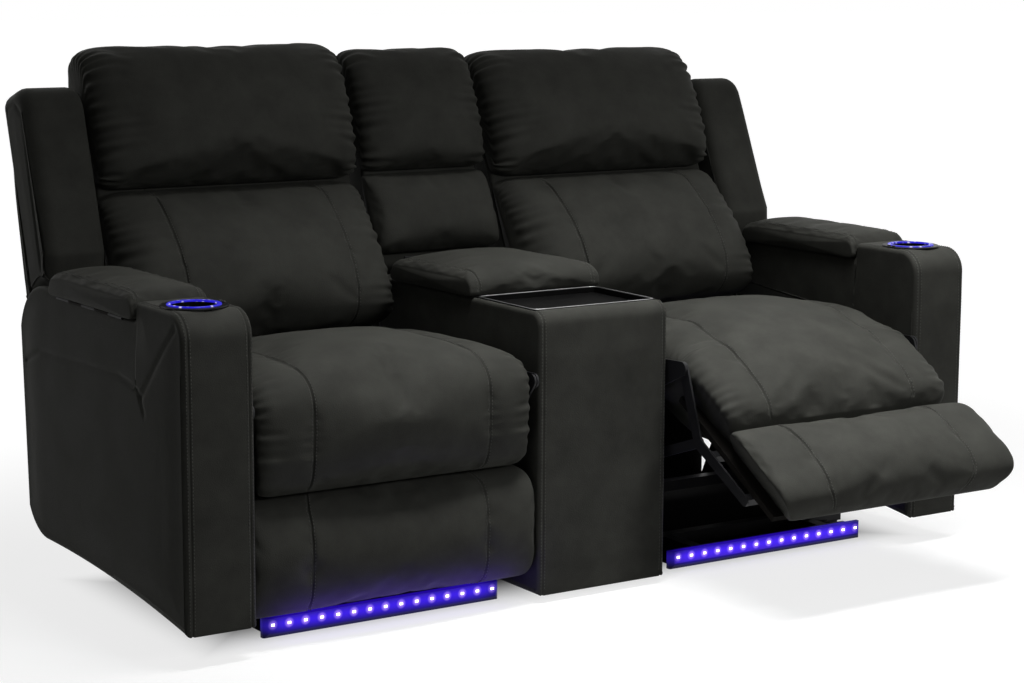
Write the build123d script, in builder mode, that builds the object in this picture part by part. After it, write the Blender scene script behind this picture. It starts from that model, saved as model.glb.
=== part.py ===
from build123d import *
import os
from dataclasses import dataclass
from math import atan2, cos, hypot, radians, sin, sqrt, tan

# Power reclining loveseat with a centre console and a wall-saver carriage under each seat.
# Millimetres, +Z up, +X to the viewer's right, the front of the sofa towards -Y.
# Depths are measured back from the front of the arms, heights from the floor.
# Every piece is drawn for the right-hand seat, closed and upright, and then placed.

# Widths across the sofa, and the clearance of the pads in each opening
CONSOLE_WIDTH = 298.0
SEAT_OPENING = 610.0
ARM_WIDTH = 135.0
SEAT_SIDE = 15.0
HEAD_SIDE = 20.0
FOOT_SIDE = 7.0

# Arms
ARM_TOP = 618.0
ARM_BOTTOM = 58.0
ARM_ROUND = 48.0
ARM_REAR = 738.0
ARM_REAR_TOP = 505.0
ARM_REAR_LOW = 150.0
ARM_HEEL = 98.0
ARM_RAKE = 18.0
ARM_HEEL_RUN = 100.0
ARM_CURVE = 12.0
ARM_OUTER_PANEL = 13.0
ARM_EDGE = 7.0
LID_SEAT = 586.0
LID_FRONT = 190.0
LID_REAR = 574.0
LID_OVERHANG = 8.0
LID_HEIGHT = 32.0
LID_CROWN = 11.0
WELL_WALL = 22.0
WELL_DEPTH = 230.0
WELL_FRONT = 232.0
WELL_REAR = 540.0

# Cup holder and buttons
CUP_DEPTH_BACK = 92.0
CUP_RADIUS = 41.0
CUP_WALL = 2.0
CUP_DEPTH = 74.0
CUP_FLANGE = 60.0
CUP_FLANGE_HEIGHT = 3.0
RING_WIDTH = 5.0
RING_HEIGHT = 3.5
BUTTON_RADIUS = 3.6
BUTTON_HEIGHT = 8.0
BUTTON_STAND = 2.6
BUTTON_TRAVEL = 1.5
BUTTON_SPREAD = 14.0

# Console
CONSOLE_FRONT = 34.0
CONSOLE_TOP = 560.0
CONSOLE_BOTTOM = 15.0
CONSOLE_REAR = 722.0
CONSOLE_ROUND = 26.0
TRAY_FRONT = 66.0
TRAY_REAR = 266.0
TRAY_DEPTH = 12.0
TRAY_MARGIN = 12.0
TRAY_FLANGE = 4.0
TRAY_WALL = 2.5
CONSOLE_LID_FRONT = 276.0
CONSOLE_LID_REAR = 576.0
CONSOLE_LID_HEIGHT = 32.0
CONSOLE_LID_CROWN = 12.0
CONSOLE_LID_OVERHANG = 6.0
BIN_FRONT = 306.0
BIN_REAR = 548.0
BIN_MARGIN = 24.0
BIN_DEPTH = 230.0

# Lids and hinges
BOARD = 10.0
BARREL = 3.2
HINGE_PIN = 1.5
HINGE_LENGTH = 300.0
KNUCKLES = 5
LEAF = 1.5
LEAF_WIDTH = 20.0

# Mechanism sheet metal, from the sides of each opening towards the seat's middle
PLATE = 4.0
LAYER_GAP = 1.0
PIN = 5.0
RUN_FIT = 0.05
OPEN_FIT = 0.3

# Base frame
GLIDE = 12.0
GLIDE_RADIUS = 18.0
RAIL_TOP = 52.0
BASE_FRONT = 212.0
BRACKET_FRONT = 100.0
BASE_REAR = 640.0
BAR_DEPTH = 26.0
BAR_HEIGHT = 28.0
TRACK_FRONT = 305.0
TRACK_REAR = 560.0
TRACK_TOP = 296.0
TRACK_HEIGHT = 10.0
TRACK_WIDTH = 15.0
POST = 46.0

# Light rail
LIGHT_LENGTH = 500.0
LIGHT_DEPTH = 16.0
LIGHT_BOTTOM = 6.0
LIGHT_TOP = 42.0
LAMP_HEIGHT = 30.0
LAMP_PITCH = 33.3
LAMPS = 15
LAMP_SIZE = 6.0
LAMP_STAND = 1.5

# Linkage, in depth and height when closed
HINGE = (41.0, 432.0)
LIFT = (132.0, 318.0)
CRANK = (200.0, 378.0)
PIVOT = (580.0, 400.0)
FOOT_FULL = 80.0
SLIDE_FULL = 62.0
DRIVE_ARM = 60.0
TORQUE_TUBE = 11.0
LINK_HALF = 10.0
SCREW_HEIGHT = 300.0
SCREW_RADIUS = 8.0

# Seat
FRAME_RAIL = 30.0
FRAME_FRONT = 128.0
FRAME_REAR = 470.0
PAD_BASE = 436.0
SEAT_FRONT = 48.0
SEAT_REAR = 476.0
SEAT_EDGE = 470.0
SEAT_CROWN = 40.0
SEAM = 0.63
SEAM_DEPTH = 4.0
END_DRAW = 0.4
SPRINGS = 5
SPRING_WIRE = 3.6
SPRING_WAVES = 5

# Footrest
PAD_BACK = 106.0
FOOT_BOARD = 12.0
FOOT_TUBE = 16.0
FRONT_LOW = 278.0
FRONT_HIGH = 428.0
FOOT_LOW = 68.0
FOOT_HIGH = 262.0
FOOT_THICK = 72.0
FOOT_CROWN = 22.0

# Back, in height along the lean and distance in front of the pivot line
LEAN = 17.5
BACK_FACE = -20.0
BACK_THICK = 88.0
BACK_LOW = 26.0
BACK_HIGH = 604.0
LUMBAR_LOW = 64.0
LUMBAR_HIGH = 364.0
LUMBAR_FOOT = 110.0
LUMBAR_HEAD = 34.0
LUMBAR_CROWN = 40.0
HEAD_LOW = 372.0
HEAD_HIGH = 668.0
HEAD_FRONT = 42.0
HEAD_CROWN = 40.0
HEAD_WRAP = 72.0
HEAD_LIP = 14.0
HEAD_BROW = 60.0
WING_FRONT = 24.0
WING_BACK = -102.0
WING_HIGH = 594.0
WING_ROUND = 50.0
WING_GAP = 3.0
WING_CLEAR = 5.0
WING_SWEEP = 205.0
WING_EDGE = 12.0
WING_BARS = (300.0, 500.0)
BRACKET = 16.0
BRACKET_UP = 131.0

# Console back, in the same measures
CONSOLE_PAD_GAP = 2.0
CONSOLE_HEAD_LOW = 394.0
CONSOLE_HEAD_HIGH = 654.0
CONSOLE_PAD_LOW = 216.0

# Derived widths
HALF = SEAT_OPENING / 2
ARM_IN = CONSOLE_WIDTH / 2 + SEAT_OPENING
ARM_OUT = ARM_IN + ARM_WIDTH
ARM_MID = (ARM_IN + ARM_OUT) / 2
SEAT_X = CONSOLE_WIDTH / 2 + HALF
BASE_LAYER = HALF - PLATE / 2
CARRIAGE_LAYER = BASE_LAYER - PLATE - LAYER_GAP
LINK_LAYER = CARRIAGE_LAYER - PLATE - LAYER_GAP
STRUT_LAYER = LINK_LAYER - PLATE - LAYER_GAP
FRAME_HALF = STRUT_LAYER - PLATE / 2 - 2 * LAYER_GAP
CARRIAGE_IN = CARRIAGE_LAYER - PLATE / 2
LINK_IN = LINK_LAYER - PLATE / 2
CUP_BORE = CUP_RADIUS + CUP_WALL
SEAT_HALF = HALF - SEAT_SIDE
HEAD_HALF = HALF - HEAD_SIDE
FOOT_HALF = HALF - FOOT_SIDE
FLAP_HALF = LINK_IN - 3 * LAYER_GAP
QUARTER = 1 - sqrt(0.5)


@dataclass
class Seat:
    """One seat of the sofa at rest: its side, footrest angle and recline in degrees."""

    name: str
    side: int
    opened: float
    reclined: float

    @property
    def travel(self):
        return SLIDE_FULL * self.opened / FOOT_FULL


SEATS = (Seat("left", -1, 0.0, 0.0), Seat("right", 1, 58.0, 5.5))


def turned(point, centre, angle):
    """Depth and height of a point that swings about a centre, its front upwards."""
    c, s = cos(radians(angle)), sin(radians(angle))
    dy, dz = point[0] - centre[0], point[1] - centre[1]
    return (centre[0] + dy * c + dz * s, centre[1] + dz * c - dy * s)


def leaned(up, front):
    """Depth and height of a point given along the lean of the back."""
    c, s = cos(radians(LEAN)), sin(radians(LEAN))
    return (PIVOT[0] + up * s - front * c, PIVOT[1] + up * c + front * s)


# The origin lies under the middle of the box at rest, with the right seat part open
OPEN_SEAT = SEATS[1]
REST_REAR = turned(leaned(BACK_HIGH, BACK_FACE - BACK_THICK), PIVOT, OPEN_SEAT.reclined)[0]
REST_FRONT = turned((PAD_BACK - FOOT_THICK, FOOT_LOW), HINGE, OPEN_SEAT.opened)[0]
FRONT_Y = OPEN_SEAT.travel - (REST_REAR + REST_FRONT) / 2


def side(x):
    """Side view plane at x, drawn in depth and height."""
    return Plane(origin=(x, FRONT_Y, 0), x_dir=(0, 1, 0), z_dir=(1, 0, 0))


def upright(x):
    """Side view plane for the front pads, drawn in height and distance in front of their board."""
    return Plane(origin=(x, FRONT_Y + PAD_BACK, 0), x_dir=(0, 0, 1), z_dir=(1, 0, 0))


def leaning(x):
    """Side view plane of the back, drawn along its lean and in front of its pivot line."""
    up = (0, sin(radians(LEAN)), cos(radians(LEAN)))
    return Plane(origin=(x, FRONT_Y + PIVOT[0], PIVOT[1]), x_dir=up, z_dir=(1, 0, 0))


def spot(x, depth, height):
    """Point in the sofa's frame."""
    return (x, FRONT_Y + depth, height)


def swing(point):
    """Axis across the sofa about which a positive angle lifts the front."""
    return Axis(spot(0, *point), (-1, 0, 0))


def save(part, name):
    part.label = name
    export_step(part, f"parts/{name}.step")


def handed(part, seat):
    """The piece on its own side of the sofa."""
    return part if seat.side > 0 else part.mirror(Plane.YZ)


def on_carriage(part, seat):
    return handed(part, seat).translate((0, -seat.travel, 0))


def on_footrest(part, seat):
    return on_carriage(part.rotate(swing(HINGE), seat.opened), seat)


def on_crank(part, seat):
    return on_carriage(part.rotate(swing(CRANK), seat.opened), seat)


def on_struts(part, seat):
    lifted = turned(LIFT, HINGE, seat.opened)
    return on_carriage(part.translate((0, lifted[0] - LIFT[0], lifted[1] - LIFT[1])), seat)


def on_block(part, seat):
    return on_carriage(part.translate((0, -DRIVE_STROKE * seat.opened / FOOT_FULL, 0)), seat)


def on_back(part, seat):
    return on_carriage(part.rotate(swing(PIVOT), seat.reclined), seat)


def cushion(plane, middle, half, soft, profile, seam=None):
    """Padded form lofted across the seat, drawn in by soft at its ends and a little along its seams.

    profile(inset, crown) draws the closed outline at one station, with crown from 0 to 1.
    """
    stations = [(1.0, soft, 0.0), (0.94, 0.25 * soft, 0.5), (0.7, 0.0, 0.84)]
    if seam:
        stations += [(seam, SEAM_DEPTH, 0.87), (2 * seam - 0.7, 0.0, 0.92)]
    mirrored = [(-place, inset, crown) for place, inset, crown in stations]
    stations = mirrored + [(0.0, 0.0, 1.0)] + stations[::-1]
    with BuildPart() as pad:
        for place, inset, crown in stations:
            with BuildSketch(plane(middle + place * half)):
                with BuildLine():
                    profile(inset, crown)
                make_face()
        loft(ruled=True)
    return pad.part


def upright_rise(run, rise):
    """Height over its chord of an arc that leaves its lower end square to the base."""
    return hypot(run, rise) / 2 * tan(atan2(run, rise) / 2)


def slab(low, high, base, start, end, crown, start_round, end_round):
    """Outline maker for a pad from low to high on a flat base, with rounded ends and a crowned top."""

    def draw(inset, share):
        drawn = inset * END_DRAW
        first = (low + drawn, base)
        second = (low + drawn + start_round, start - inset)
        third = (high - drawn - end_round, end - inset)
        fourth = (high - drawn, base)
        SagittaArc(first, second, upright_rise(start_round, start - inset - base))
        SagittaArc(second, third, max(crown * share, 1.0))
        SagittaArc(third, fourth, upright_rise(end_round, end - inset - base))
        Line(fourth, first)

    return draw


def plate(points, radii, layer, holes=(), pins=(), pin_reach=0.0):
    """Pair of flat links, one each side of the seat, hulled round points, with holes and pins.

    The pins stand on the face towards the middle of the seat.
    """
    with BuildPart() as links:
        for sign in (-1, 1):
            with BuildSketch(side(SEAT_X + sign * layer)):
                for point, radius in zip(points, radii):
                    with Locations(point):
                        Circle(radius)
                make_hull()
                for point in holes:
                    with Locations(point):
                        Circle(PIN + RUN_FIT, mode=Mode.SUBTRACT)
            extrude(amount=PLATE / 2, both=True)
            for point in pins:
                with BuildSketch(side(SEAT_X + sign * (layer - PLATE / 2))):
                    with Locations(point):
                        Circle(PIN)
                extrude(amount=-sign * pin_reach)
    return links.part


# Base frames, their glides and the light rails
def base_frame():
    with BuildPart() as frame:
        for sign in (-1, 1):
            with BuildSketch(side(SEAT_X + sign * BASE_LAYER)):
                with BuildLine():
                    Polyline(
                        (BASE_FRONT, GLIDE), (BASE_FRONT, RAIL_TOP), (TRACK_FRONT, RAIL_TOP),
                        (TRACK_FRONT, TRACK_TOP), (TRACK_REAR, TRACK_TOP), (TRACK_REAR, RAIL_TOP),
                        (BASE_REAR, RAIL_TOP), (BASE_REAR, GLIDE), close=True,
                    )
                make_face()
                with Locations(((TRACK_FRONT + TRACK_REAR) / 2, (RAIL_TOP + TRACK_TOP - POST) / 2 + GLIDE)):
                    RectangleRounded(
                        TRACK_REAR - TRACK_FRONT - 2 * POST, TRACK_TOP - RAIL_TOP - POST - 2 * GLIDE,
                        GLIDE, mode=Mode.SUBTRACT,
                    )
            extrude(amount=PLATE / 2, both=True)
            track_x = SEAT_X + sign * (HALF - TRACK_WIDTH / 2)
            with Locations(spot(track_x, (TRACK_FRONT + TRACK_REAR) / 2, TRACK_TOP - TRACK_HEIGHT / 2)):
                Box(TRACK_WIDTH, TRACK_REAR - TRACK_FRONT, TRACK_HEIGHT)
        for depth in (BASE_FRONT + BAR_DEPTH / 2, BASE_REAR - BAR_DEPTH / 2):
            with Locations(spot(SEAT_X, depth, GLIDE + BAR_HEIGHT / 2)):
                Box(SEAT_OPENING, BAR_DEPTH, BAR_HEIGHT)
        with Locations(spot(SEAT_X, BRACKET_FRONT + BAR_DEPTH / 4, GLIDE + BAR_HEIGHT / 2)):
            Box(LIGHT_LENGTH - 2 * BAR_DEPTH, BAR_DEPTH / 2, BAR_HEIGHT)
        for sign in (-1, 1):
            middle = (BRACKET_FRONT + BASE_FRONT) / 2
            with Locations(spot(SEAT_X + sign * LIGHT_LENGTH / 3, middle, GLIDE + BAR_HEIGHT / 2)):
                Box(BAR_DEPTH, BASE_FRONT - BRACKET_FRONT, BAR_HEIGHT)
    return frame.part


def glides():
    inset = HALF - GLIDE_RADIUS - PLATE
    places = [
        spot(sign * SEAT_X + across * inset, depth, GLIDE / 2)
        for sign in (-1, 1)
        for across in (-1, 1)
        for depth in (BASE_FRONT + BAR_DEPTH / 2, BASE_REAR - BAR_DEPTH / 2)
    ]
    with BuildPart() as feet:
        with Locations(*places):
            Cylinder(GLIDE_RADIUS, GLIDE)
        chamfer(feet.edges().group_by(Axis.Z)[0], GLIDE / 6)
    return feet.part


def light_rail():
    rail_front = BRACKET_FRONT - LIGHT_DEPTH
    with BuildPart() as rail:
        with BuildSketch(side(SEAT_X)):
            with BuildLine():
                Polyline(
                    (BRACKET_FRONT, LIGHT_BOTTOM), (rail_front + LIGHT_DEPTH / 3, LIGHT_BOTTOM),
                    (rail_front, LIGHT_BOTTOM + LIGHT_DEPTH / 2), (rail_front, LIGHT_TOP),
                    (BRACKET_FRONT, LIGHT_TOP), close=True,
                )
            make_face()
        extrude(amount=LIGHT_LENGTH / 2, both=True)
        ends = rail.edges().filter_by(Axis.Z).group_by(Axis.Y)[0]
        chamfer(ends, LIGHT_DEPTH / 2)
    return rail.part


def lamps():
    with BuildPart() as strip:
        with Locations(spot(SEAT_X, BRACKET_FRONT - LIGHT_DEPTH - LAMP_STAND / 2, LAMP_HEIGHT)):
            with GridLocations(LAMP_PITCH, 1, LAMPS, 1):
                Box(LAMP_SIZE, LAMP_STAND, LAMP_SIZE * 0.7)
    return strip.part


# Arms with their storage wells, cup holders and lids
def arm():
    step = LID_FRONT - LAYER_GAP
    lid_end = (LID_REAR + LID_OVERHANG, LID_SEAT)
    rear_top = (ARM_REAR, ARM_REAR_TOP)
    rear_low = (ARM_REAR - ARM_RAKE, ARM_REAR_LOW)
    heel = (ARM_REAR - ARM_HEEL_RUN, ARM_HEEL)
    with BuildPart() as body:
        with BuildSketch(side(ARM_IN)):
            with BuildLine():
                Line((0, ARM_BOTTOM), (0, ARM_TOP - ARM_ROUND))
                SagittaArc((0, ARM_TOP - ARM_ROUND), (ARM_ROUND, ARM_TOP), QUARTER * ARM_ROUND)
                Polyline((ARM_ROUND, ARM_TOP), (step, ARM_TOP), (step, LID_SEAT), lid_end)
                SagittaArc(lid_end, rear_top, (ARM_REAR - lid_end[0]) / 4)
                Line(rear_top, rear_low)
                SagittaArc(rear_low, heel, ARM_CURVE)
                SagittaArc(heel, (0, ARM_BOTTOM), -ARM_CURVE)
            make_face()
        extrude(amount=ARM_WIDTH)
        fillet(body.edges().filter_by(Axis.Z).group_by(Axis.Y)[0], ARM_EDGE)
        with Locations(spot(ARM_MID, (WELL_FRONT + WELL_REAR) / 2, LID_SEAT - WELL_DEPTH / 2)):
            Box(ARM_WIDTH - 2 * WELL_WALL, WELL_REAR - WELL_FRONT, WELL_DEPTH, mode=Mode.SUBTRACT)
        with Locations(spot(ARM_MID, CUP_DEPTH_BACK, ARM_TOP - CUP_DEPTH / 2)):
            Cylinder(CUP_BORE, CUP_DEPTH, mode=Mode.SUBTRACT)
        with Locations(*[spot(x, depth, ARM_TOP - BUTTON_HEIGHT / 2) for x, depth in button_places()]):
            Cylinder(BUTTON_RADIUS + 2 * OPEN_FIT, BUTTON_HEIGHT, mode=Mode.SUBTRACT)
        with BuildSketch(side(ARM_IN)):
            with Locations((LID_REAR + LAYER_GAP * 3, PIVOT[1])):
                Rectangle(ARM_REAR, ARM_TOP, align=Align.MIN)
            with Locations((PIVOT[0] - SLIDE_FULL, PIVOT[1])):
                Circle(WING_SWEEP - WING_CLEAR, mode=Mode.SUBTRACT)
        extrude(amount=ARM_WIDTH - ARM_OUTER_PANEL, mode=Mode.SUBTRACT)
    return body.part


def button_places():
    """The two buttons on the flange, on the side of the seat."""
    reach = (CUP_BORE + RING_WIDTH + CUP_FLANGE) / 2
    back = BUTTON_SPREAD / 2
    across = sqrt(reach**2 - back**2)
    return [(ARM_MID - across, CUP_DEPTH_BACK - back), (ARM_MID - across, CUP_DEPTH_BACK + back)]


def cup_holder():
    top = ARM_TOP + CUP_FLANGE_HEIGHT
    seat = ARM_TOP + CUP_FLANGE_HEIGHT / 2
    with BuildPart() as cup:
        with BuildSketch(Plane(origin=spot(ARM_MID, CUP_DEPTH_BACK, 0), x_dir=(1, 0, 0), z_dir=(0, -1, 0))):
            with BuildLine():
                Polyline(
                    (0, ARM_TOP - CUP_DEPTH), (CUP_BORE, ARM_TOP - CUP_DEPTH), (CUP_BORE, ARM_TOP),
                    (CUP_FLANGE, ARM_TOP), (CUP_FLANGE, seat), (CUP_FLANGE - 2, top),
                    (CUP_BORE + RING_WIDTH, top), (CUP_BORE + RING_WIDTH, seat), (CUP_RADIUS, seat),
                    (CUP_RADIUS, ARM_TOP - CUP_DEPTH + CUP_WALL), (0, ARM_TOP - CUP_DEPTH + CUP_WALL),
                    close=True,
                )
            make_face()
        revolve(axis=Axis(spot(ARM_MID, CUP_DEPTH_BACK, 0), (0, 0, 1)))
        with Locations(*[spot(x, depth, ARM_TOP + CUP_FLANGE_HEIGHT / 2) for x, depth in button_places()]):
            Cylinder(BUTTON_RADIUS + OPEN_FIT, 2 * CUP_FLANGE_HEIGHT, mode=Mode.SUBTRACT)
    return cup.part


def cup_light():
    seat = ARM_TOP + CUP_FLANGE_HEIGHT / 2
    with BuildPart() as ring:
        with BuildSketch(Plane(origin=spot(ARM_MID, CUP_DEPTH_BACK, seat))):
            Circle(CUP_BORE + RING_WIDTH - OPEN_FIT)
            Circle(CUP_RADIUS + OPEN_FIT, mode=Mode.SUBTRACT)
        extrude(amount=RING_HEIGHT)
        chamfer(ring.edges().group_by(Axis.Z)[-1], RING_HEIGHT / 4)
    return ring.part


def button(index):
    x, depth = button_places()[index]
    top = ARM_TOP + CUP_FLANGE_HEIGHT + BUTTON_STAND
    with BuildPart() as key:
        with BuildSketch(Plane(origin=spot(x, depth, top - BUTTON_HEIGHT))):
            Circle(BUTTON_RADIUS)
        extrude(amount=BUTTON_HEIGHT)
        chamfer(key.edges().group_by(Axis.Z)[-1], BUTTON_RADIUS / 4)
    return key.part


def knuckle_spans(fixed):
    """Ends of the hinge knuckles along their pin, the fixed ones or the lid's."""
    pitch = HINGE_LENGTH / KNUCKLES
    start = -HINGE_LENGTH / 2
    return [
        (start + i * pitch + OPEN_FIT, start + (i + 1) * pitch - OPEN_FIT)
        for i in range(KNUCKLES)
        if (i % 2 == 0) == fixed
    ]


LID_AXIS = (ARM_OUT + BARREL + LAYER_GAP, LID_SEAT - LEAF - OPEN_FIT)
LID_MIDDLE = (LID_FRONT + LID_REAR) / 2
LID_BASE = LID_SEAT + LEAF + OPEN_FIT


def across_plane(depth):
    """Plane facing the rear at a depth, drawn in x and height."""
    return Plane(origin=(0, FRONT_Y + depth, 0), x_dir=(-1, 0, 0), z_dir=(0, 1, 0))


def lid_hinge():
    with BuildPart() as hinge:
        with BuildSketch(across_plane(LID_MIDDLE - HINGE_LENGTH / 2)):
            with Locations((-LID_AXIS[0], LID_AXIS[1])):
                Circle(HINGE_PIN)
        extrude(amount=HINGE_LENGTH)
        for low, high in knuckle_spans(fixed=True):
            with BuildSketch(across_plane(LID_MIDDLE + low)):
                with Locations((-LID_AXIS[0], LID_AXIS[1])):
                    Circle(BARREL)
            extrude(amount=high - low)
            with Locations(spot(LID_AXIS[0] - LEAF_WIDTH / 2, LID_MIDDLE + (low + high) / 2, LID_SEAT + LEAF / 2)):
                Box(LEAF_WIDTH, high - low, LEAF)
    return hinge.part


def lid_board():
    inner = ARM_IN - LID_OVERHANG / 2
    outer = LID_AXIS[0] + BARREL / 2
    with BuildPart() as board:
        with Locations(spot((inner + outer) / 2, LID_MIDDLE, LID_BASE + BOARD / 2)):
            Box(outer - inner, LID_REAR - LID_FRONT - LID_OVERHANG, BOARD)
        for low, high in knuckle_spans(fixed=False):
            with BuildSketch(across_plane(LID_MIDDLE + low)):
                with Locations((-LID_AXIS[0], LID_AXIS[1])):
                    Circle(BARREL)
                with Locations((-LID_AXIS[0], (LID_AXIS[1] + LID_BASE) / 2)):
                    Rectangle(BARREL, LID_BASE - LID_AXIS[1])
                with Locations((-LID_AXIS[0], LID_AXIS[1])):
                    Circle(HINGE_PIN + RUN_FIT, mode=Mode.SUBTRACT)
            extrude(amount=high - low)
    return board.part


def arm_lid():
    top = LID_BASE + BOARD + LID_HEIGHT
    outline = slab(LID_FRONT, LID_REAR, LID_BASE + BOARD, top, top, LID_CROWN, 18.0, 16.0)
    return cushion(side, ARM_MID, ARM_WIDTH / 2 + LID_OVERHANG, 10.0, outline)


# Console: box, tray, lid and its fixed back
CONSOLE_AXIS = (CONSOLE_LID_REAR + BARREL + LAYER_GAP, CONSOLE_TOP + BOARD + CONSOLE_LID_HEIGHT)
CONSOLE_LID_BASE = CONSOLE_TOP + OPEN_FIT


def console_box():
    with BuildPart() as box:
        with BuildSketch(side(-CONSOLE_WIDTH / 2)):
            with BuildLine():
                Line((CONSOLE_FRONT, CONSOLE_BOTTOM), (CONSOLE_FRONT, CONSOLE_TOP - CONSOLE_ROUND))
                SagittaArc(
                    (CONSOLE_FRONT, CONSOLE_TOP - CONSOLE_ROUND),
                    (CONSOLE_FRONT + CONSOLE_ROUND, CONSOLE_TOP), QUARTER * CONSOLE_ROUND,
                )
                Polyline(
                    (CONSOLE_FRONT + CONSOLE_ROUND, CONSOLE_TOP), (CONSOLE_REAR, CONSOLE_TOP),
                    (CONSOLE_REAR, CONSOLE_BOTTOM), (CONSOLE_FRONT, CONSOLE_BOTTOM),
                )
            make_face()
        extrude(amount=CONSOLE_WIDTH)
        fillet(box.edges().filter_by(Axis.Z).group_by(Axis.Y)[0], ARM_EDGE)
        with Locations(spot(0, (TRAY_FRONT + TRAY_REAR) / 2, CONSOLE_TOP - TRAY_DEPTH / 2)):
            Box(CONSOLE_WIDTH - 2 * TRAY_MARGIN, TRAY_REAR - TRAY_FRONT, TRAY_DEPTH, mode=Mode.SUBTRACT)
        with Locations(spot(0, (BIN_FRONT + BIN_REAR) / 2, CONSOLE_TOP - BIN_DEPTH / 2)):
            Box(CONSOLE_WIDTH - 2 * BIN_MARGIN, BIN_REAR - BIN_FRONT, BIN_DEPTH, mode=Mode.SUBTRACT)
    return box.part


def console_tray():
    width = CONSOLE_WIDTH - 2 * TRAY_MARGIN
    length = TRAY_REAR - TRAY_FRONT
    middle = (TRAY_FRONT + TRAY_REAR) / 2
    with BuildPart() as tray:
        with BuildSketch(Plane(origin=spot(0, middle, CONSOLE_TOP - TRAY_DEPTH))):
            Rectangle(width, length)
        extrude(amount=TRAY_DEPTH)
        with BuildSketch(Plane(origin=spot(0, middle, CONSOLE_TOP))):
            RectangleRounded(width + 2 * TRAY_FLANGE, length + 2 * TRAY_FLANGE, TRAY_FLANGE)
        extrude(amount=TRAY_WALL / 2)
        with BuildSketch(Plane(origin=spot(0, middle, CONSOLE_TOP - TRAY_DEPTH + TRAY_WALL))):
            RectangleRounded(width - 2 * TRAY_WALL, length - 2 * TRAY_WALL, TRAY_FLANGE)
        extrude(amount=TRAY_DEPTH, mode=Mode.SUBTRACT)
    return tray.part


def console_hinge():
    with BuildPart() as hinge:
        with BuildSketch(side(-HINGE_LENGTH / 2 * CONSOLE_SHARE)):
            with Locations(CONSOLE_AXIS):
                Circle(HINGE_PIN)
        extrude(amount=HINGE_LENGTH * CONSOLE_SHARE)
        for low, high in knuckle_spans(fixed=True):
            low, high = low * CONSOLE_SHARE, high * CONSOLE_SHARE
            with BuildSketch(side(low)):
                with Locations(CONSOLE_AXIS):
                    Circle(BARREL)
                with Locations((CONSOLE_AXIS[0] + BARREL, (CONSOLE_AXIS[1] + CONSOLE_TOP) / 2)):
                    Rectangle(LEAF, CONSOLE_AXIS[1] - CONSOLE_TOP)
                with Locations((CONSOLE_AXIS[0] + BARREL / 2, CONSOLE_AXIS[1])):
                    Rectangle(BARREL, LEAF)
                with Locations((CONSOLE_AXIS[0] + BARREL + LEAF_WIDTH / 2, CONSOLE_TOP + LEAF / 2)):
                    Rectangle(LEAF_WIDTH, LEAF)
            extrude(amount=high - low)
    return hinge.part


CONSOLE_SHARE = 0.8


def console_lid_board():
    middle = (CONSOLE_LID_FRONT + CONSOLE_LID_REAR) / 2
    length = CONSOLE_LID_REAR - CONSOLE_LID_FRONT
    with BuildPart() as board:
        with Locations(spot(0, middle, CONSOLE_LID_BASE + BOARD / 2)):
            Box(CONSOLE_WIDTH, length, BOARD)
        with Locations(spot(0, CONSOLE_LID_REAR - LEAF / 2, (CONSOLE_LID_BASE + CONSOLE_AXIS[1]) / 2)):
            Box(HINGE_LENGTH * CONSOLE_SHARE, LEAF, CONSOLE_AXIS[1] - CONSOLE_LID_BASE)
        for low, high in knuckle_spans(fixed=False):
            low, high = low * CONSOLE_SHARE, high * CONSOLE_SHARE
            with BuildSketch(side(low)):
                with Locations(CONSOLE_AXIS):
                    Circle(BARREL)
                with Locations((CONSOLE_AXIS[0] - (BARREL + LAYER_GAP) / 2, CONSOLE_AXIS[1] - LEAF / 2)):
                    Rectangle(BARREL + LAYER_GAP, LEAF)
                with Locations(CONSOLE_AXIS):
                    Circle(HINGE_PIN + RUN_FIT, mode=Mode.SUBTRACT)
            extrude(amount=high - low)
    return board.part


def console_lid():
    base = CONSOLE_LID_BASE + BOARD
    top = base + CONSOLE_LID_HEIGHT
    outline = slab(CONSOLE_LID_FRONT - 4, CONSOLE_LID_REAR - 2 * LEAF, base, top, top, CONSOLE_LID_CROWN, 18.0, 14.0)
    return cushion(side, 0, CONSOLE_WIDTH / 2 + CONSOLE_LID_OVERHANG, 10.0, outline)


def console_back_core():
    rise = (CONSOLE_TOP - PIVOT[1]) / cos(radians(LEAN))
    with BuildPart() as core:
        with BuildSketch(leaning(-CONSOLE_WIDTH / 2 + BOARD)):
            with BuildLine():
                Polyline(
                    (rise / 2, BACK_FACE), (BACK_HIGH, BACK_FACE), (BACK_HIGH, BACK_FACE - BACK_THICK / 2),
                    (BACK_HIGH - BACK_THICK / 2, BACK_FACE - BACK_THICK), (rise / 2, BACK_FACE - BACK_THICK),
                    close=True,
                )
            make_face()
        extrude(amount=CONSOLE_WIDTH - 2 * BOARD)
        split(bisect_by=Plane.XY.offset(CONSOLE_TOP), keep=Keep.TOP)
    return core.part


def console_lower_pad():
    outline = slab(
        CONSOLE_PAD_LOW, CONSOLE_HEAD_LOW - 4 * CONSOLE_PAD_GAP, BACK_FACE, LUMBAR_HEAD, WING_FRONT / 2, 14.0, 24.0, 16.0
    )
    return cushion(leaning, 0, CONSOLE_WIDTH / 2 - CONSOLE_PAD_GAP, 18.0, outline)


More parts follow.
